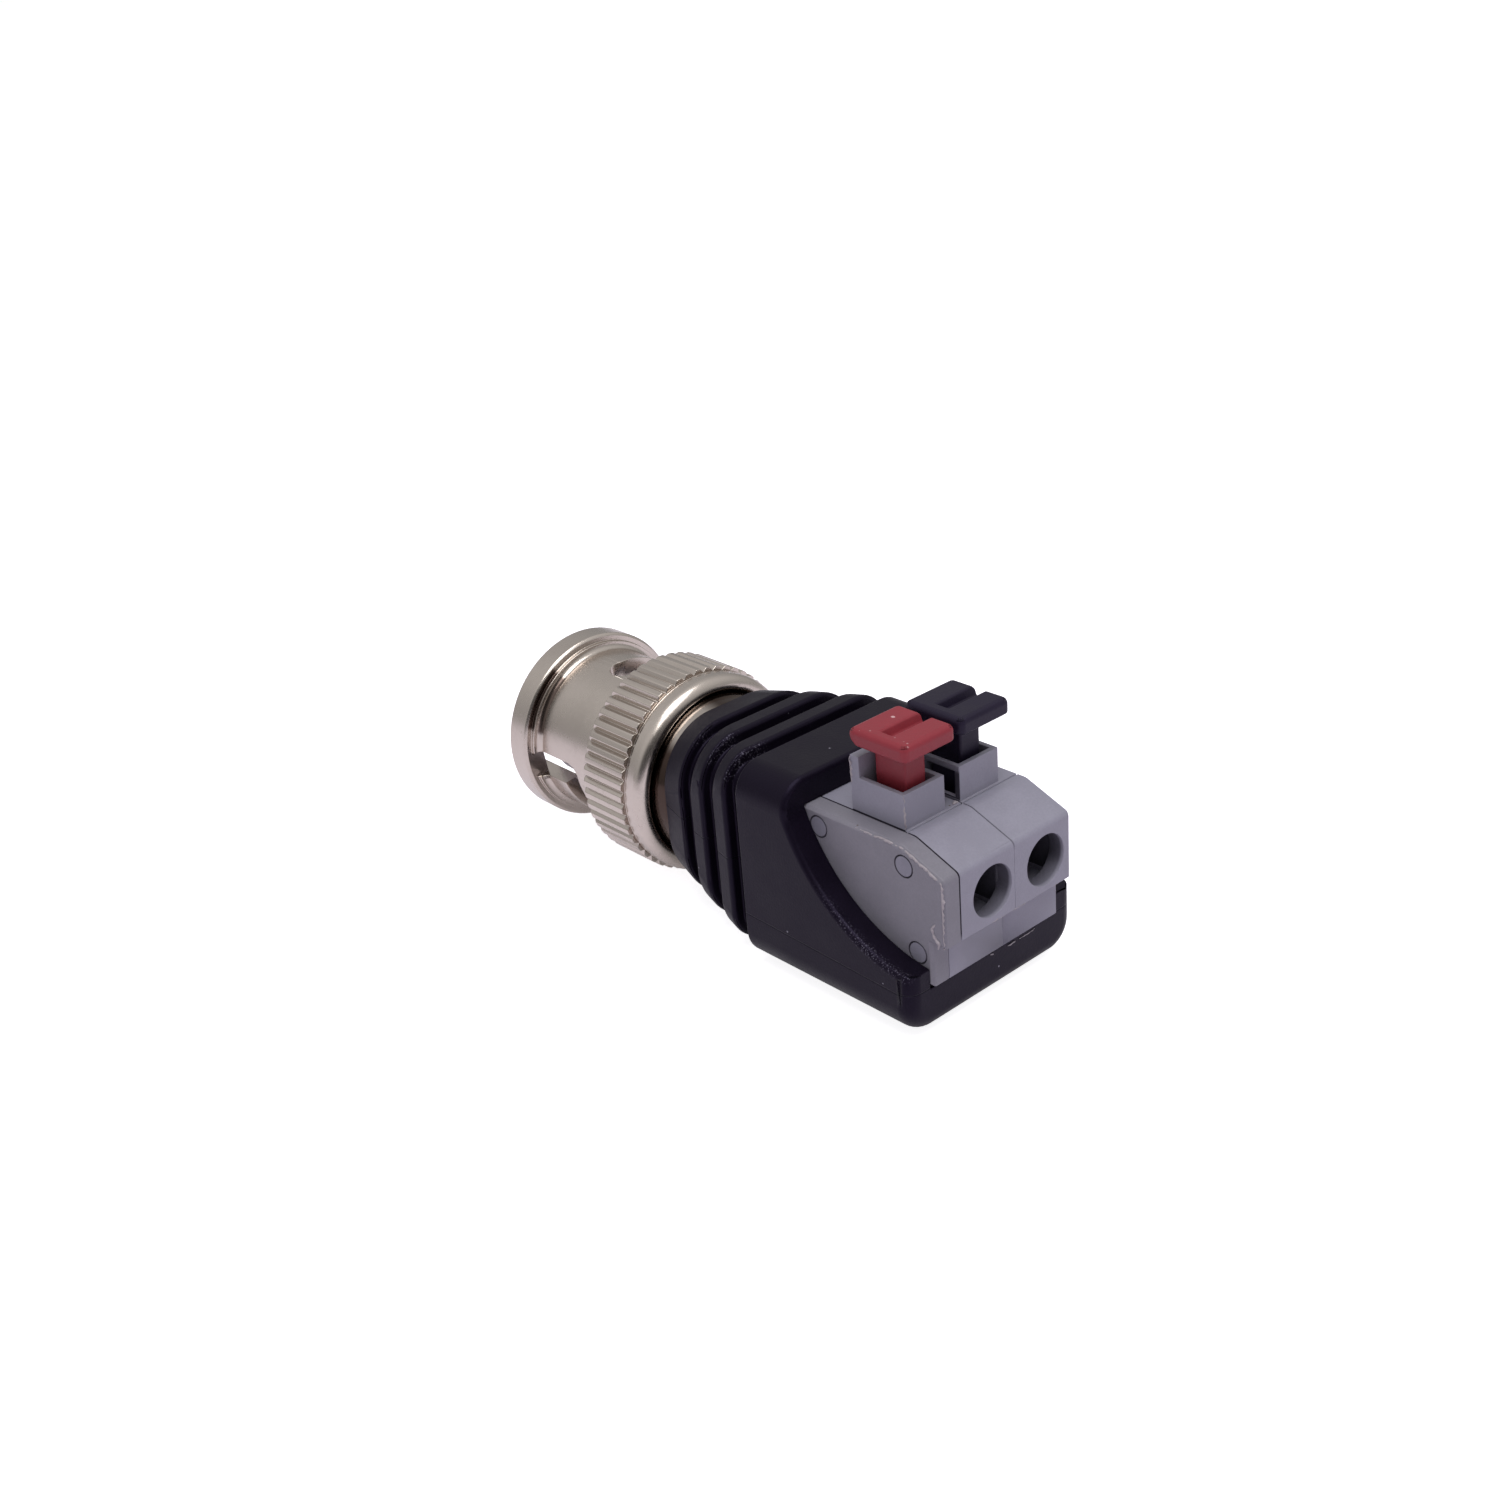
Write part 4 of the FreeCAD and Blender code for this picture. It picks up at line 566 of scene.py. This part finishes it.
def dressed_copy(name, part, body, material, edge, angle=28.0, segments=2,
                 weigh=every_edge, tidy=None):
    """Merged copy of a CAD node with its edges rounded, standing for that node.

    weigh gives each edge its share of the rounding. tidy is a last step on the merged
    mesh, before its edges are weighed.
    """
    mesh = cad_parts[part].data.copy()
    mesh.name = name
    shape = bmesh.new()
    shape.from_mesh(mesh)
    bmesh.ops.remove_doubles(shape, verts=shape.verts, dist=MERGED_WITHIN * MM)
    bmesh.ops.dissolve_limit(shape, angle_limit=math.radians(FLAT_WITHIN),
                             verts=shape.verts, edges=shape.edges,
                             use_dissolve_boundaries=False)
    if tidy:
        tidy(shape)
    for face in shape.faces:
        face.smooth = True
    edge_weights(shape, angle, weigh)
    shape.to_mesh(mesh)
    shape.free()
    if mesh.attributes.get("custom_normal"):
        mesh.attributes.remove(mesh.attributes["custom_normal"])
    mesh.materials.clear()
    piece = bpy.data.objects.new(name, mesh)
    bpy.context.scene.collection.objects.link(piece)
    rounding = piece.modifiers.new("edges", "BEVEL")
    rounding.width = edge
    rounding.segments = segments
    rounding.limit_method = "WEIGHT"
    rounding.use_clamp_overlap = False
    rounding.face_strength_mode = "FSTR_ALL"
    normals = piece.modifiers.new("normals", "WEIGHTED_NORMAL")
    normals.keep_sharp = True
    normals.use_face_influence = True
    normals.mode = "FACE_AREA_WITH_ANGLE"
    give_material(piece, material)
    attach(piece, body)
    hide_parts(part)
    return piece


BEAD_STEP = 0.06
BEAD_SIDES = 7
BEAD_PITCHES = (0.43, 0.97, 1.9, 3.3)  # of its waves, in millimetres
ASKEW = (0.577, 0.577, 0.577)  # a direction that no burr follows


def ragged_bead(name, points, radius, wander, seed, material):
    """Burr along a line of points in millimetres, with a pointed end at both ends.

    Its centre is the line, resampled evenly and moved sideways by sines of random phase.
    Its radius follows such sines too, and thins out at both ends.
    """
    chance = np.random.default_rng(seed)
    line = np.array(points, float)
    steps = np.r_[0, np.cumsum(np.linalg.norm(np.diff(line, axis=0), axis=1))]
    count = max(24, int(steps[-1] / BEAD_STEP))
    way = np.linspace(0, steps[-1], count)
    centre = np.stack([np.interp(way, steps, line[:, i]) for i in range(3)], axis=1)
    tangent = np.gradient(centre, axis=0)
    tangent /= np.linalg.norm(tangent, axis=1, keepdims=True)
    side = np.cross(tangent, ASKEW)
    side /= np.linalg.norm(side, axis=1, keepdims=True)
    other = np.cross(tangent, side)
    pitch = np.array(BEAD_PITCHES)[:, None]
    waves, more = (np.sin(way[None] * 2 * np.pi / pitch + chance.uniform(0, 6.28, (4, 1)))
                   for _ in range(2))
    centre += side * (waves.mean(0) * wander)[:, None]
    centre += other * (more.mean(0) * wander)[:, None]
    share = np.sin(np.pi * np.linspace(0, 1, count)) ** 0.35
    share[[0, -1]] = 0.02
    size = radius * (0.70 + 0.30 * waves[::-1].mean(0) * 2) * share
    turn = np.linspace(0, 2 * np.pi, BEAD_SIDES, endpoint=False)
    ring = (np.cos(turn)[None, :, None] * side[:, None] + np.sin(turn)[None, :, None]
            * other[:, None])
    verts = (centre[:, None] + ring * size[:, None, None]).reshape(-1, 3) * MM
    row, column = np.meshgrid(np.arange(count - 1) * BEAD_SIDES, np.arange(BEAD_SIDES),
                              indexing="ij")
    after = (column + 1) % BEAD_SIDES
    faces = np.stack([row + column, row + after, row + BEAD_SIDES + after,
                      row + BEAD_SIDES + column], axis=-1).reshape(-1, 4)
    last = (count - 1) * BEAD_SIDES
    caps = [list(range(BEAD_SIDES))[::-1], list(range(last, last + BEAD_SIDES))]
    mesh = bpy.data.meshes.new(name)
    mesh.from_pydata(verts.tolist(), [], faces.tolist() + caps)
    mesh.shade_smooth()
    piece = bpy.data.objects.new(name, mesh)
    bpy.context.scene.collection.objects.link(piece)
    give_material(piece, material)
    return piece


# Painted dark reflections, as plated_metal takes them: dark arcs painted behind the sleeve's
# rim, where it mirrors the housing, and the plug body's shoulder painted dark brown, left
# bright only between its two sectors as a painted highlight
RIM_PAINTED_REFLECTIONS = ((2.02, 2.08, 2.38, 0.95, 122, 163), (2.42, 2.46, 2.85, 0.90, 122, 165))
SHOULDER_PAINTED_REFLECTIONS = ((15.3, 15.6, 17.6, 0.15), (15.3, 15.6, 17.6, 0.98, 134, 200),
                  (15.3, 15.6, 17.6, 0.98, -200, 100))

# Burrs: piece, radius, how far it wanders, seed of the random phases, and line
FLASH = (
    ("cover_flash", 0.111, 0.06, 3,
     ((-5.80, -35.8, 5.10), (-5.82, -37.2, 5.06), (-5.80, -39.60, 5.08),
      (-5.82, -41.2, 4.44), (-5.82, -42.96, 3.72), (-5.84, -43.00, 1.5),
      (-5.84, -42.98, -0.75))),
    ("cover_tear", 0.156, 0.05, 5,
     ((-5.88, -42.36, 0.72), (-5.90, -42.10, 0.28), (-5.90, -42.30, -0.25),
      (-5.90, -42.66, -0.60), (-5.88, -42.52, -1.05))),
    ("foot_flash", 0.098, 0.05, 6,
     ((-5.86, -42.95, -0.88), (-5.4, -42.7, -0.93), (-4.6, -42.4, -0.92))),
    ("face_flash", 0.072, 0.06, 17,
     ((-4.3, -43.02, -0.86), (-2.6, -43.02, -0.84), (-0.4, -43.04, -0.88),
      (2.2, -43.02, -0.85), (5.6, -43.02, -0.86))),
    ("socket_flash", 0.078, 0.10, 8,
     ((-4.38, -38.71, 7.62), (-4.33, -38.72, 6.9), (-4.42, -38.72, 6.3),
      (-4.38, -38.72, 5.25))),
    ("wall_flash", 0.111, 0.10, 11,
     ((-4.40, -34.22, 9.02), (-4.40, -34.25, 8.1), (-4.42, -34.28, 7.1))),
    ("ledge_flash", 0.143, 0.05, 13,
     ((0.02, -38.62, 5.24), (0.25, -38.56, 5.25), (0.48, -38.66, 5.22))),
    ("rear_fleck_left", 0.050, 0.02, 19, ((-0.45, -41.82, -4.28), (-0.15, -41.82, -4.36))),
    ("rear_fleck_mid", 0.046, 0.03, 23, ((1.2, -41.82, -4.40), (2.0, -41.82, -4.38))),
    ("rear_fleck_right", 0.048, 0.04, 29,
     ((2.3, -41.82, -4.36), (3.1, -41.82, -4.44), (3.9, -41.82, -4.33))),
)

# Pale spots: place, radius, and how pale they are. The housing's is a painted highlight at
# the cut-away's corner, and the red button's are chips
HOUSING_HIGHLIGHT_SPOT = ((-6.72, -30.08, 6.25, 0.13, 0.6),)
RED_CHIPS = ((-2.18, -35.95, 11.32, 0.26, 1.0), (-4.75, -35.6, 11.2, 0.12, 0.3),
             (-4.54, -39.45, 11.25, 0.16, 0.35), (-3.97, -36.66, 11.32, 0.10, 0.4),
             (-4.33, -39.20, 11.30, 0.10, 0.45), (-4.28, -38.86, 11.30, 0.09, 0.3),
             (-4.22, -38.07, 11.32, 0.10, 0.3), (-4.46, -36.21, 11.30, 0.12, 0.35))

# Springs: piece, node, joint that presses them, axis, held end in millimetres, and the
# share of their length that is left when the joint is at its limit.
SPRINGS = (
    ("washer", "wave_washer", "coupling_pull", (0, 1, 0), (0, -10.58, 0), 0.45),
    ("cage_red", "clamp_spring_red", "red_press", (0, 0, 1), (0, 0, -0.4), 0.63),
    ("cage_black", "clamp_spring_black", "black_press", (0, 0, 1), (0, 0, -0.4), 0.63),
)
SPRING_EDGE = 0.02  # rounding of the strip, in millimetres

# Metals inside: material, colour, colour of its film, roughness, and nodes
INNER_METALS = (
    # The outer contact is painted near white, a painted reflection of the pale room seen
    # through the slots
    ("bright_contact", (0.92, 0.90, 0.96), (0.7, 0.66, 0.70), 0.65, ("outer_contact",)),
    ("spring_steel", (0.20, 0.19, 0.19), (0.12, 0.11, 0.11), 0.45,
     ("retaining_ring", "thrust_ring")),
    ("contact_gold", (0.75, 0.50, 0.22), (0.5, 0.33, 0.16), 0.22, ("centre_pin",)),
    ("tinned_copper", (0.30, 0.24, 0.19), (0.20, 0.13, 0.09), 0.4,
     ("contact_bar_red", "contact_bar_black", "signal_lead", "ground_lead")),
)

# Plastics inside: material, colour, roughness, bloom, colour and share of specks, and node
INNER_PLASTICS = (
    ("silicone_rubber", (0.74, 0.72, 0.80), 0.5, 0.3, (0.6, 0.6, 0.65), 0.01, "gasket"),
    ("white_insulator", (0.72, 0.71, 0.70), 0.4, 0.2, (0.6, 0.6, 0.6), 0.01, "insulator"),
)


def add_flash(look):
    """Pale burrs on the joints of the terminal block."""
    torn = moulded_plastic("torn_plastic", look.flash[:], 0.55, 0.4, (0.25, 0.22, 0.25), 0.02)
    for name, radius, wander, seed, points in FLASH:
        piece = ragged_bead(name, points, radius, wander, seed, torn)
        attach(piece, "adapter")


def block_edges(middles):
    """Full rounding, but none along the poles' joint at the face and on the foot."""
    x, y, _ = middles.T
    return np.where((np.abs(x - POLE_JOINT) < 0.03) & (y < FACE + 1.5), 0.0, 1.0)


def on_cutaway(places):
    """Tells which places, in millimetres, lie on the outer edge of the box's cut-away.

    They are on the upright wall or on the arc behind it, and on the box's outside: a
    rectangle with round corners, seen from the rear.
    """
    x, y, z = places.T
    upright = (np.abs(y - CUT_WALL) < 0.06) & (z > 4.9)
    past = np.hypot(y - CUT_CENTRE[0], z - CUT_CENTRE[1]) - CUT_RADIUS
    arc = (np.abs(past) < 0.06) & (y > CUT_SPAN[0]) & (y < CUT_SPAN[1])
    aside, up = (np.maximum(np.abs(side) - (half - BOX_CORNER), 0)
                 for side, half in zip((x, z), BOX_HALVES))
    outside = np.hypot(aside, up) > BOX_CORNER - 0.07
    return (upright | arc) & outside


def housing_edges(middles):
    """Full rounding along the cut-away, a third on the ribs, and a fine one elsewhere."""
    x, y, z = middles.T
    ribs = (y > RIBS_END) & (np.hypot(x, z) > WAIST_RADIUS)
    return np.where(on_cutaway(middles), 1.0, np.where(ribs, 0.35, 0.22))


SHORTEST_EDGE = 0.2  # millimetres


def close_short_edges(shape):
    """Merges the ends of the cut-away's shortest edges, which the rounding would tear."""
    places = np.array([v.co for v in shape.verts]) / MM
    verts = [v for v, near in zip(shape.verts, on_cutaway(places)) if near]
    bmesh.ops.remove_doubles(shape, verts=verts, dist=SHORTEST_EDGE * MM)


# Operators

class ADAPTER_OT_coupling(bpy.types.Operator):
    """Turned and knurled sleeve with its bayonet slots"""
    bl_idname = "adapter.coupling"
    bl_label = "Coupling sleeve"

    def execute(self, context):
        look = context.scene.adapter.nickel
        metal = plated_metal("nickel_sleeve", look.colour[:], look.tarnish_and_dark_reflection[:],
                             look.roughness, RIM_PAINTED_REFLECTIONS)
        dressed_copy("sleeve", "coupling_sleeve", "coupling", metal, look.edge)
        return {"FINISHED"}


class ADAPTER_OT_plug(bpy.types.Operator):
    """Plug body, contacts, insulator and rings inside the coupling"""
    bl_idname = "adapter.plug"
    bl_label = "Plug and contacts"

    def execute(self, context):
        look = context.scene.adapter.nickel
        # The plug body's shoulder is painted dark brown as a reflection of the housing, and
        # left bright between 100 and 134 degrees as a painted highlight
        brown = tuple(c * 0.6 for c in look.tarnish_and_dark_reflection)
        metal = plated_metal("nickel_body", look.colour[:], brown, look.roughness / 2,
                             SHOULDER_PAINTED_REFLECTIONS, fade=9)
        dressed_copy("plug", "plug_body", "adapter", metal, look.edge)
        for material, colour, dullness, roughness, parts in INNER_METALS:
            inner = plated_metal(material, colour, dullness, roughness)
            for part in parts:
                give_material(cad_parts[part], inner)
        steel = bpy.data.materials["spring_steel"]
        for name, part, joint, axis, anchor, keep in SPRINGS:
            spring = dressed_copy(name, part, "adapter", steel, SPRING_EDGE * MM)
            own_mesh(spring)
        for material, *finish, part in INNER_PLASTICS:
            give_material(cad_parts[part], moulded_plastic(material, *finish))
        return {"FINISHED"}


class ADAPTER_OT_housing(bpy.types.Operator):
    """Black ribbed moulding"""
    bl_idname = "adapter.housing"
    bl_label = "Housing"

    def execute(self, context):
        look = context.scene.adapter.housing
        plastic = housing_plastic(look)
        dressed_copy("shell", "housing", "adapter", plastic, look.edge,
                     segments=3, weigh=housing_edges, tidy=close_short_edges)
        return {"FINISHED"}


class ADAPTER_OT_block(bpy.types.Operator):
    """Grey terminal block: two poles and the end cover"""
    bl_idname = "adapter.block"
    bl_label = "Terminal block"

    def execute(self, context):
        look = context.scene.adapter.block
        plastic = block_plastic("grey_moulding", look.colour[:], look.roughness)
        warmer = block_plastic("cover_moulding", look.cover[:], look.roughness)
        for name, part, material in (("pole_red", "terminal_module_red", plastic),
                                     ("pole_black", "terminal_module_black", plastic),
                                     ("cover", "end_cover", warmer)):
            dressed_copy(name, part, "adapter", material, look.edge,
                         weigh=block_edges)
        add_flash(look)
        return {"FINISHED"}


class ADAPTER_OT_buttons(bpy.types.Operator):
    """Red and black push buttons"""
    bl_idname = "adapter.buttons"
    bl_label = "Push buttons"

    def execute(self, context):
        look = context.scene.adapter.buttons
        red = moulded_plastic("red_moulding", look.red[:], 0.42, 0.3,
                              (0.60, 0.36, 0.38), 0.020, RED_CHIPS, gloss=0.3)
        black = moulded_plastic("black_button_moulding", look.black[:], 0.42, 0.5,
                                (0.20, 0.19, 0.22), 0.012, gloss=0.26,
                                sheen=(0.85, 0.78, 1.0))
        dressed_copy("button_red", "red_button", "red_push", red, look.edge, segments=3)
        dressed_copy("button_black", "black_button", "black_push", black,
                     look.edge, segments=3)
        return {"FINISHED"}


class ADAPTER_OT_stage(bpy.types.Operator):
    """Camera, pale floor and soft studio light"""
    bl_idname = "adapter.stage"
    bl_label = "Stage"

    def execute(self, context):
        look = context.scene.adapter.stage
        scene = context.scene
        scene.view_settings.view_transform = "Standard"
        add_camera(scene, look.lens)
        add_floor(scene, look.floor[:])
        add_lamp(scene, "key_lamp", LAMP_PLACE, LAMP_SIZE, look.key)
        light_world(scene, look.fill)
        return {"FINISHED"}


CAMERA_TURNS = (-39.98, 25.05, -5.0)  # degrees
CAMERA_PLACE = (-0.076757, -0.110839, 0.060784)  # metres
CAMERA_SHIFT = (0.00244, -0.01595)
LAMP_PLACE = (-0.035, -0.10, 0.30)
LAMP_SIZE = 0.24
OBJECT_MIDDLE = (0, -0.022, 0)
FLOOR_HEIGHT = -7.70  # millimetres, as the next one
FLOOR_RADIUS = 1500.0
FLOOR_CORNERS = 64


def add_camera(scene, lens):
    """Camera where the photograph was taken from: azimuth, elevation and roll in turn."""
    azimuth, elevation, roll = (math.radians(turn) for turn in CAMERA_TURNS)
    back = Vector((math.sin(azimuth) * math.cos(elevation),
                   -math.cos(azimuth) * math.cos(elevation), math.sin(elevation)))
    right = Vector((math.cos(azimuth), math.sin(azimuth), 0))
    up = back.cross(right)
    turned_right = math.cos(roll) * right + math.sin(roll) * up
    turned_up = math.cos(roll) * up - math.sin(roll) * right
    data = bpy.data.cameras.new("camera")
    data.lens = lens
    data.sensor_width = 36
    data.shift_x, data.shift_y = CAMERA_SHIFT
    data.clip_start = 0.01
    camera = bpy.data.objects.new("camera", data)
    turn = Matrix((turned_right, turned_up, back)).transposed()
    camera.matrix_world = Matrix.Translation(CAMERA_PLACE) @ turn.to_4x4()
    scene.collection.objects.link(camera)
    scene.camera = camera


def add_floor(scene, colour):
    """Wide disc just below the knurl, with a glow that whitens it for the camera."""
    turns = np.linspace(0, 2 * np.pi, FLOOR_CORNERS, endpoint=False)
    rim = np.stack([FLOOR_RADIUS * np.cos(turns), FLOOR_RADIUS * np.sin(turns),
                    np.full(FLOOR_CORNERS, FLOOR_HEIGHT)], axis=1) * MM
    mesh = bpy.data.meshes.new("floor")
    mesh.from_pydata(rim.tolist(), [], [list(range(FLOOR_CORNERS))])
    floor = bpy.data.objects.new("floor", mesh)
    scene.collection.objects.link(floor)
    material, tree, shader = new_material("floor_white", colour)
    shader.inputs["Base Color"].default_value = (*colour, 1)
    shader.inputs["Roughness"].default_value = 1.0
    shader.inputs["Specular IOR Level"].default_value = 0.0
    rays = node(tree, "LightPath").outputs
    seen = product(tree, rays["Is Camera Ray"], 0.85)
    mirrored = product(tree, rays["Is Glossy Ray"], 0.25)
    glow = node(tree, "Emission", {"Color": (1, 1, 1, 1),
                                   "Strength": maths(tree, "ADD", seen, mirrored)})
    both = node(tree, "AddShader", {0: shader.outputs[0], 1: glow.outputs[0]})
    tree.links.new(both.outputs[0], tree.nodes["Material Output"].inputs["Surface"])
    give_material(floor, material)


def add_lamp(scene, name, place, size, power):
    """Square soft lamp at a place, facing the middle of the object."""
    data = bpy.data.lights.new(name, "AREA")
    data.size = size
    data.energy = power
    lamp = bpy.data.objects.new(name, data)
    lamp.location = place
    aim = Vector(OBJECT_MIDDLE) - Vector(place)
    lamp.rotation_euler = aim.to_track_quat("-Z", "Y").to_euler()
    scene.collection.objects.link(lamp)


def light_world(scene, fill):
    """Even light; glossy surfaces see a pale room, dim low on the camera's side.

    The room is also a little dimmer beyond the object.
    """
    world = bpy.data.worlds.new("studio")
    scene.world = world
    world.use_nodes = True
    tree = world.node_tree
    path = node(tree, "LightPath")
    facing = node(tree, "TexCoord").outputs["Generated"]
    height = node(tree, "SeparateXYZ", {0: facing}).outputs["Z"]
    room = ramp(tree, height, -0.05, 0.75, 0.42, 0.72)
    towards = node(tree, "VectorMath", {0: facing, 1: (-0.64, -0.76, 0.10)},
                   operation="DOT_PRODUCT").outputs["Value"]
    dim = ramp(tree, towards, 0.55, 0.92, 1.0, 0.12)
    beyond = node(tree, "VectorMath", {0: facing, 1: (0.57, 0.73, 0.38)},
                  operation="DOT_PRODUCT").outputs["Value"]
    seen = product(tree, room, dim, ramp(tree, beyond, 0.60, 0.95, 1.0, 0.80))
    lit = node(tree, "Mix", {0: path.outputs["Is Glossy Ray"], 2: fill, 3: seen})
    level = node(tree, "Mix", {0: path.outputs["Is Camera Ray"], 2: lit.outputs[0], 3: 1.0})
    shade = tree.nodes["Background"]
    shade.inputs["Color"].default_value = (1, 1, 1, 1)
    tree.links.new(level.outputs[0], shade.inputs["Strength"])


class ADAPTER_PT_panel(bpy.types.Panel):
    """Buttons and settings for the adapter"""
    bl_idname = "ADAPTER_PT_panel"
    bl_label = "Adapter"
    bl_space_type = "VIEW_3D"
    bl_region_type = "UI"
    bl_category = "Adapter"

    def draw(self, context):
        layout = self.layout
        settings = context.scene.adapter
        for operator in OPERATORS:
            layout.operator(operator.bl_idname)
        for part in ("nickel", "housing", "block", "buttons", "stage"):
            box = layout.box()
            box.label(text=part.capitalize())
            group = getattr(settings, part)
            for name in group.__annotations__:
                box.prop(group, name)


GROUPS = (NickelSettings, HousingSettings, BlockSettings, ButtonSettings, StageSettings,
          AdapterSettings)
OPERATORS = (ADAPTER_OT_stage, ADAPTER_OT_coupling, ADAPTER_OT_plug, ADAPTER_OT_housing,
             ADAPTER_OT_block, ADAPTER_OT_buttons)


def register():
    for group in GROUPS:
        bpy.utils.register_class(group)
    for operator in OPERATORS:
        bpy.utils.register_class(operator)
    bpy.utils.register_class(ADAPTER_PT_panel)
    bpy.types.Scene.adapter = PointerProperty(type=AdapterSettings)


def unregister():
    del bpy.types.Scene.adapter
    bpy.utils.unregister_class(ADAPTER_PT_panel)
    for operator in reversed(OPERATORS):
        bpy.utils.unregister_class(operator)
    for group in reversed(GROUPS):
        bpy.utils.unregister_class(group)


def main():
    """Registers the classes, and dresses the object."""
    register()
    for operator in OPERATORS:
        family, name = operator.bl_idname.split(".")
        getattr(getattr(bpy.ops, family), name)()
    bpy.context.view_layer.update()


if __name__ == "__main__":
    main()
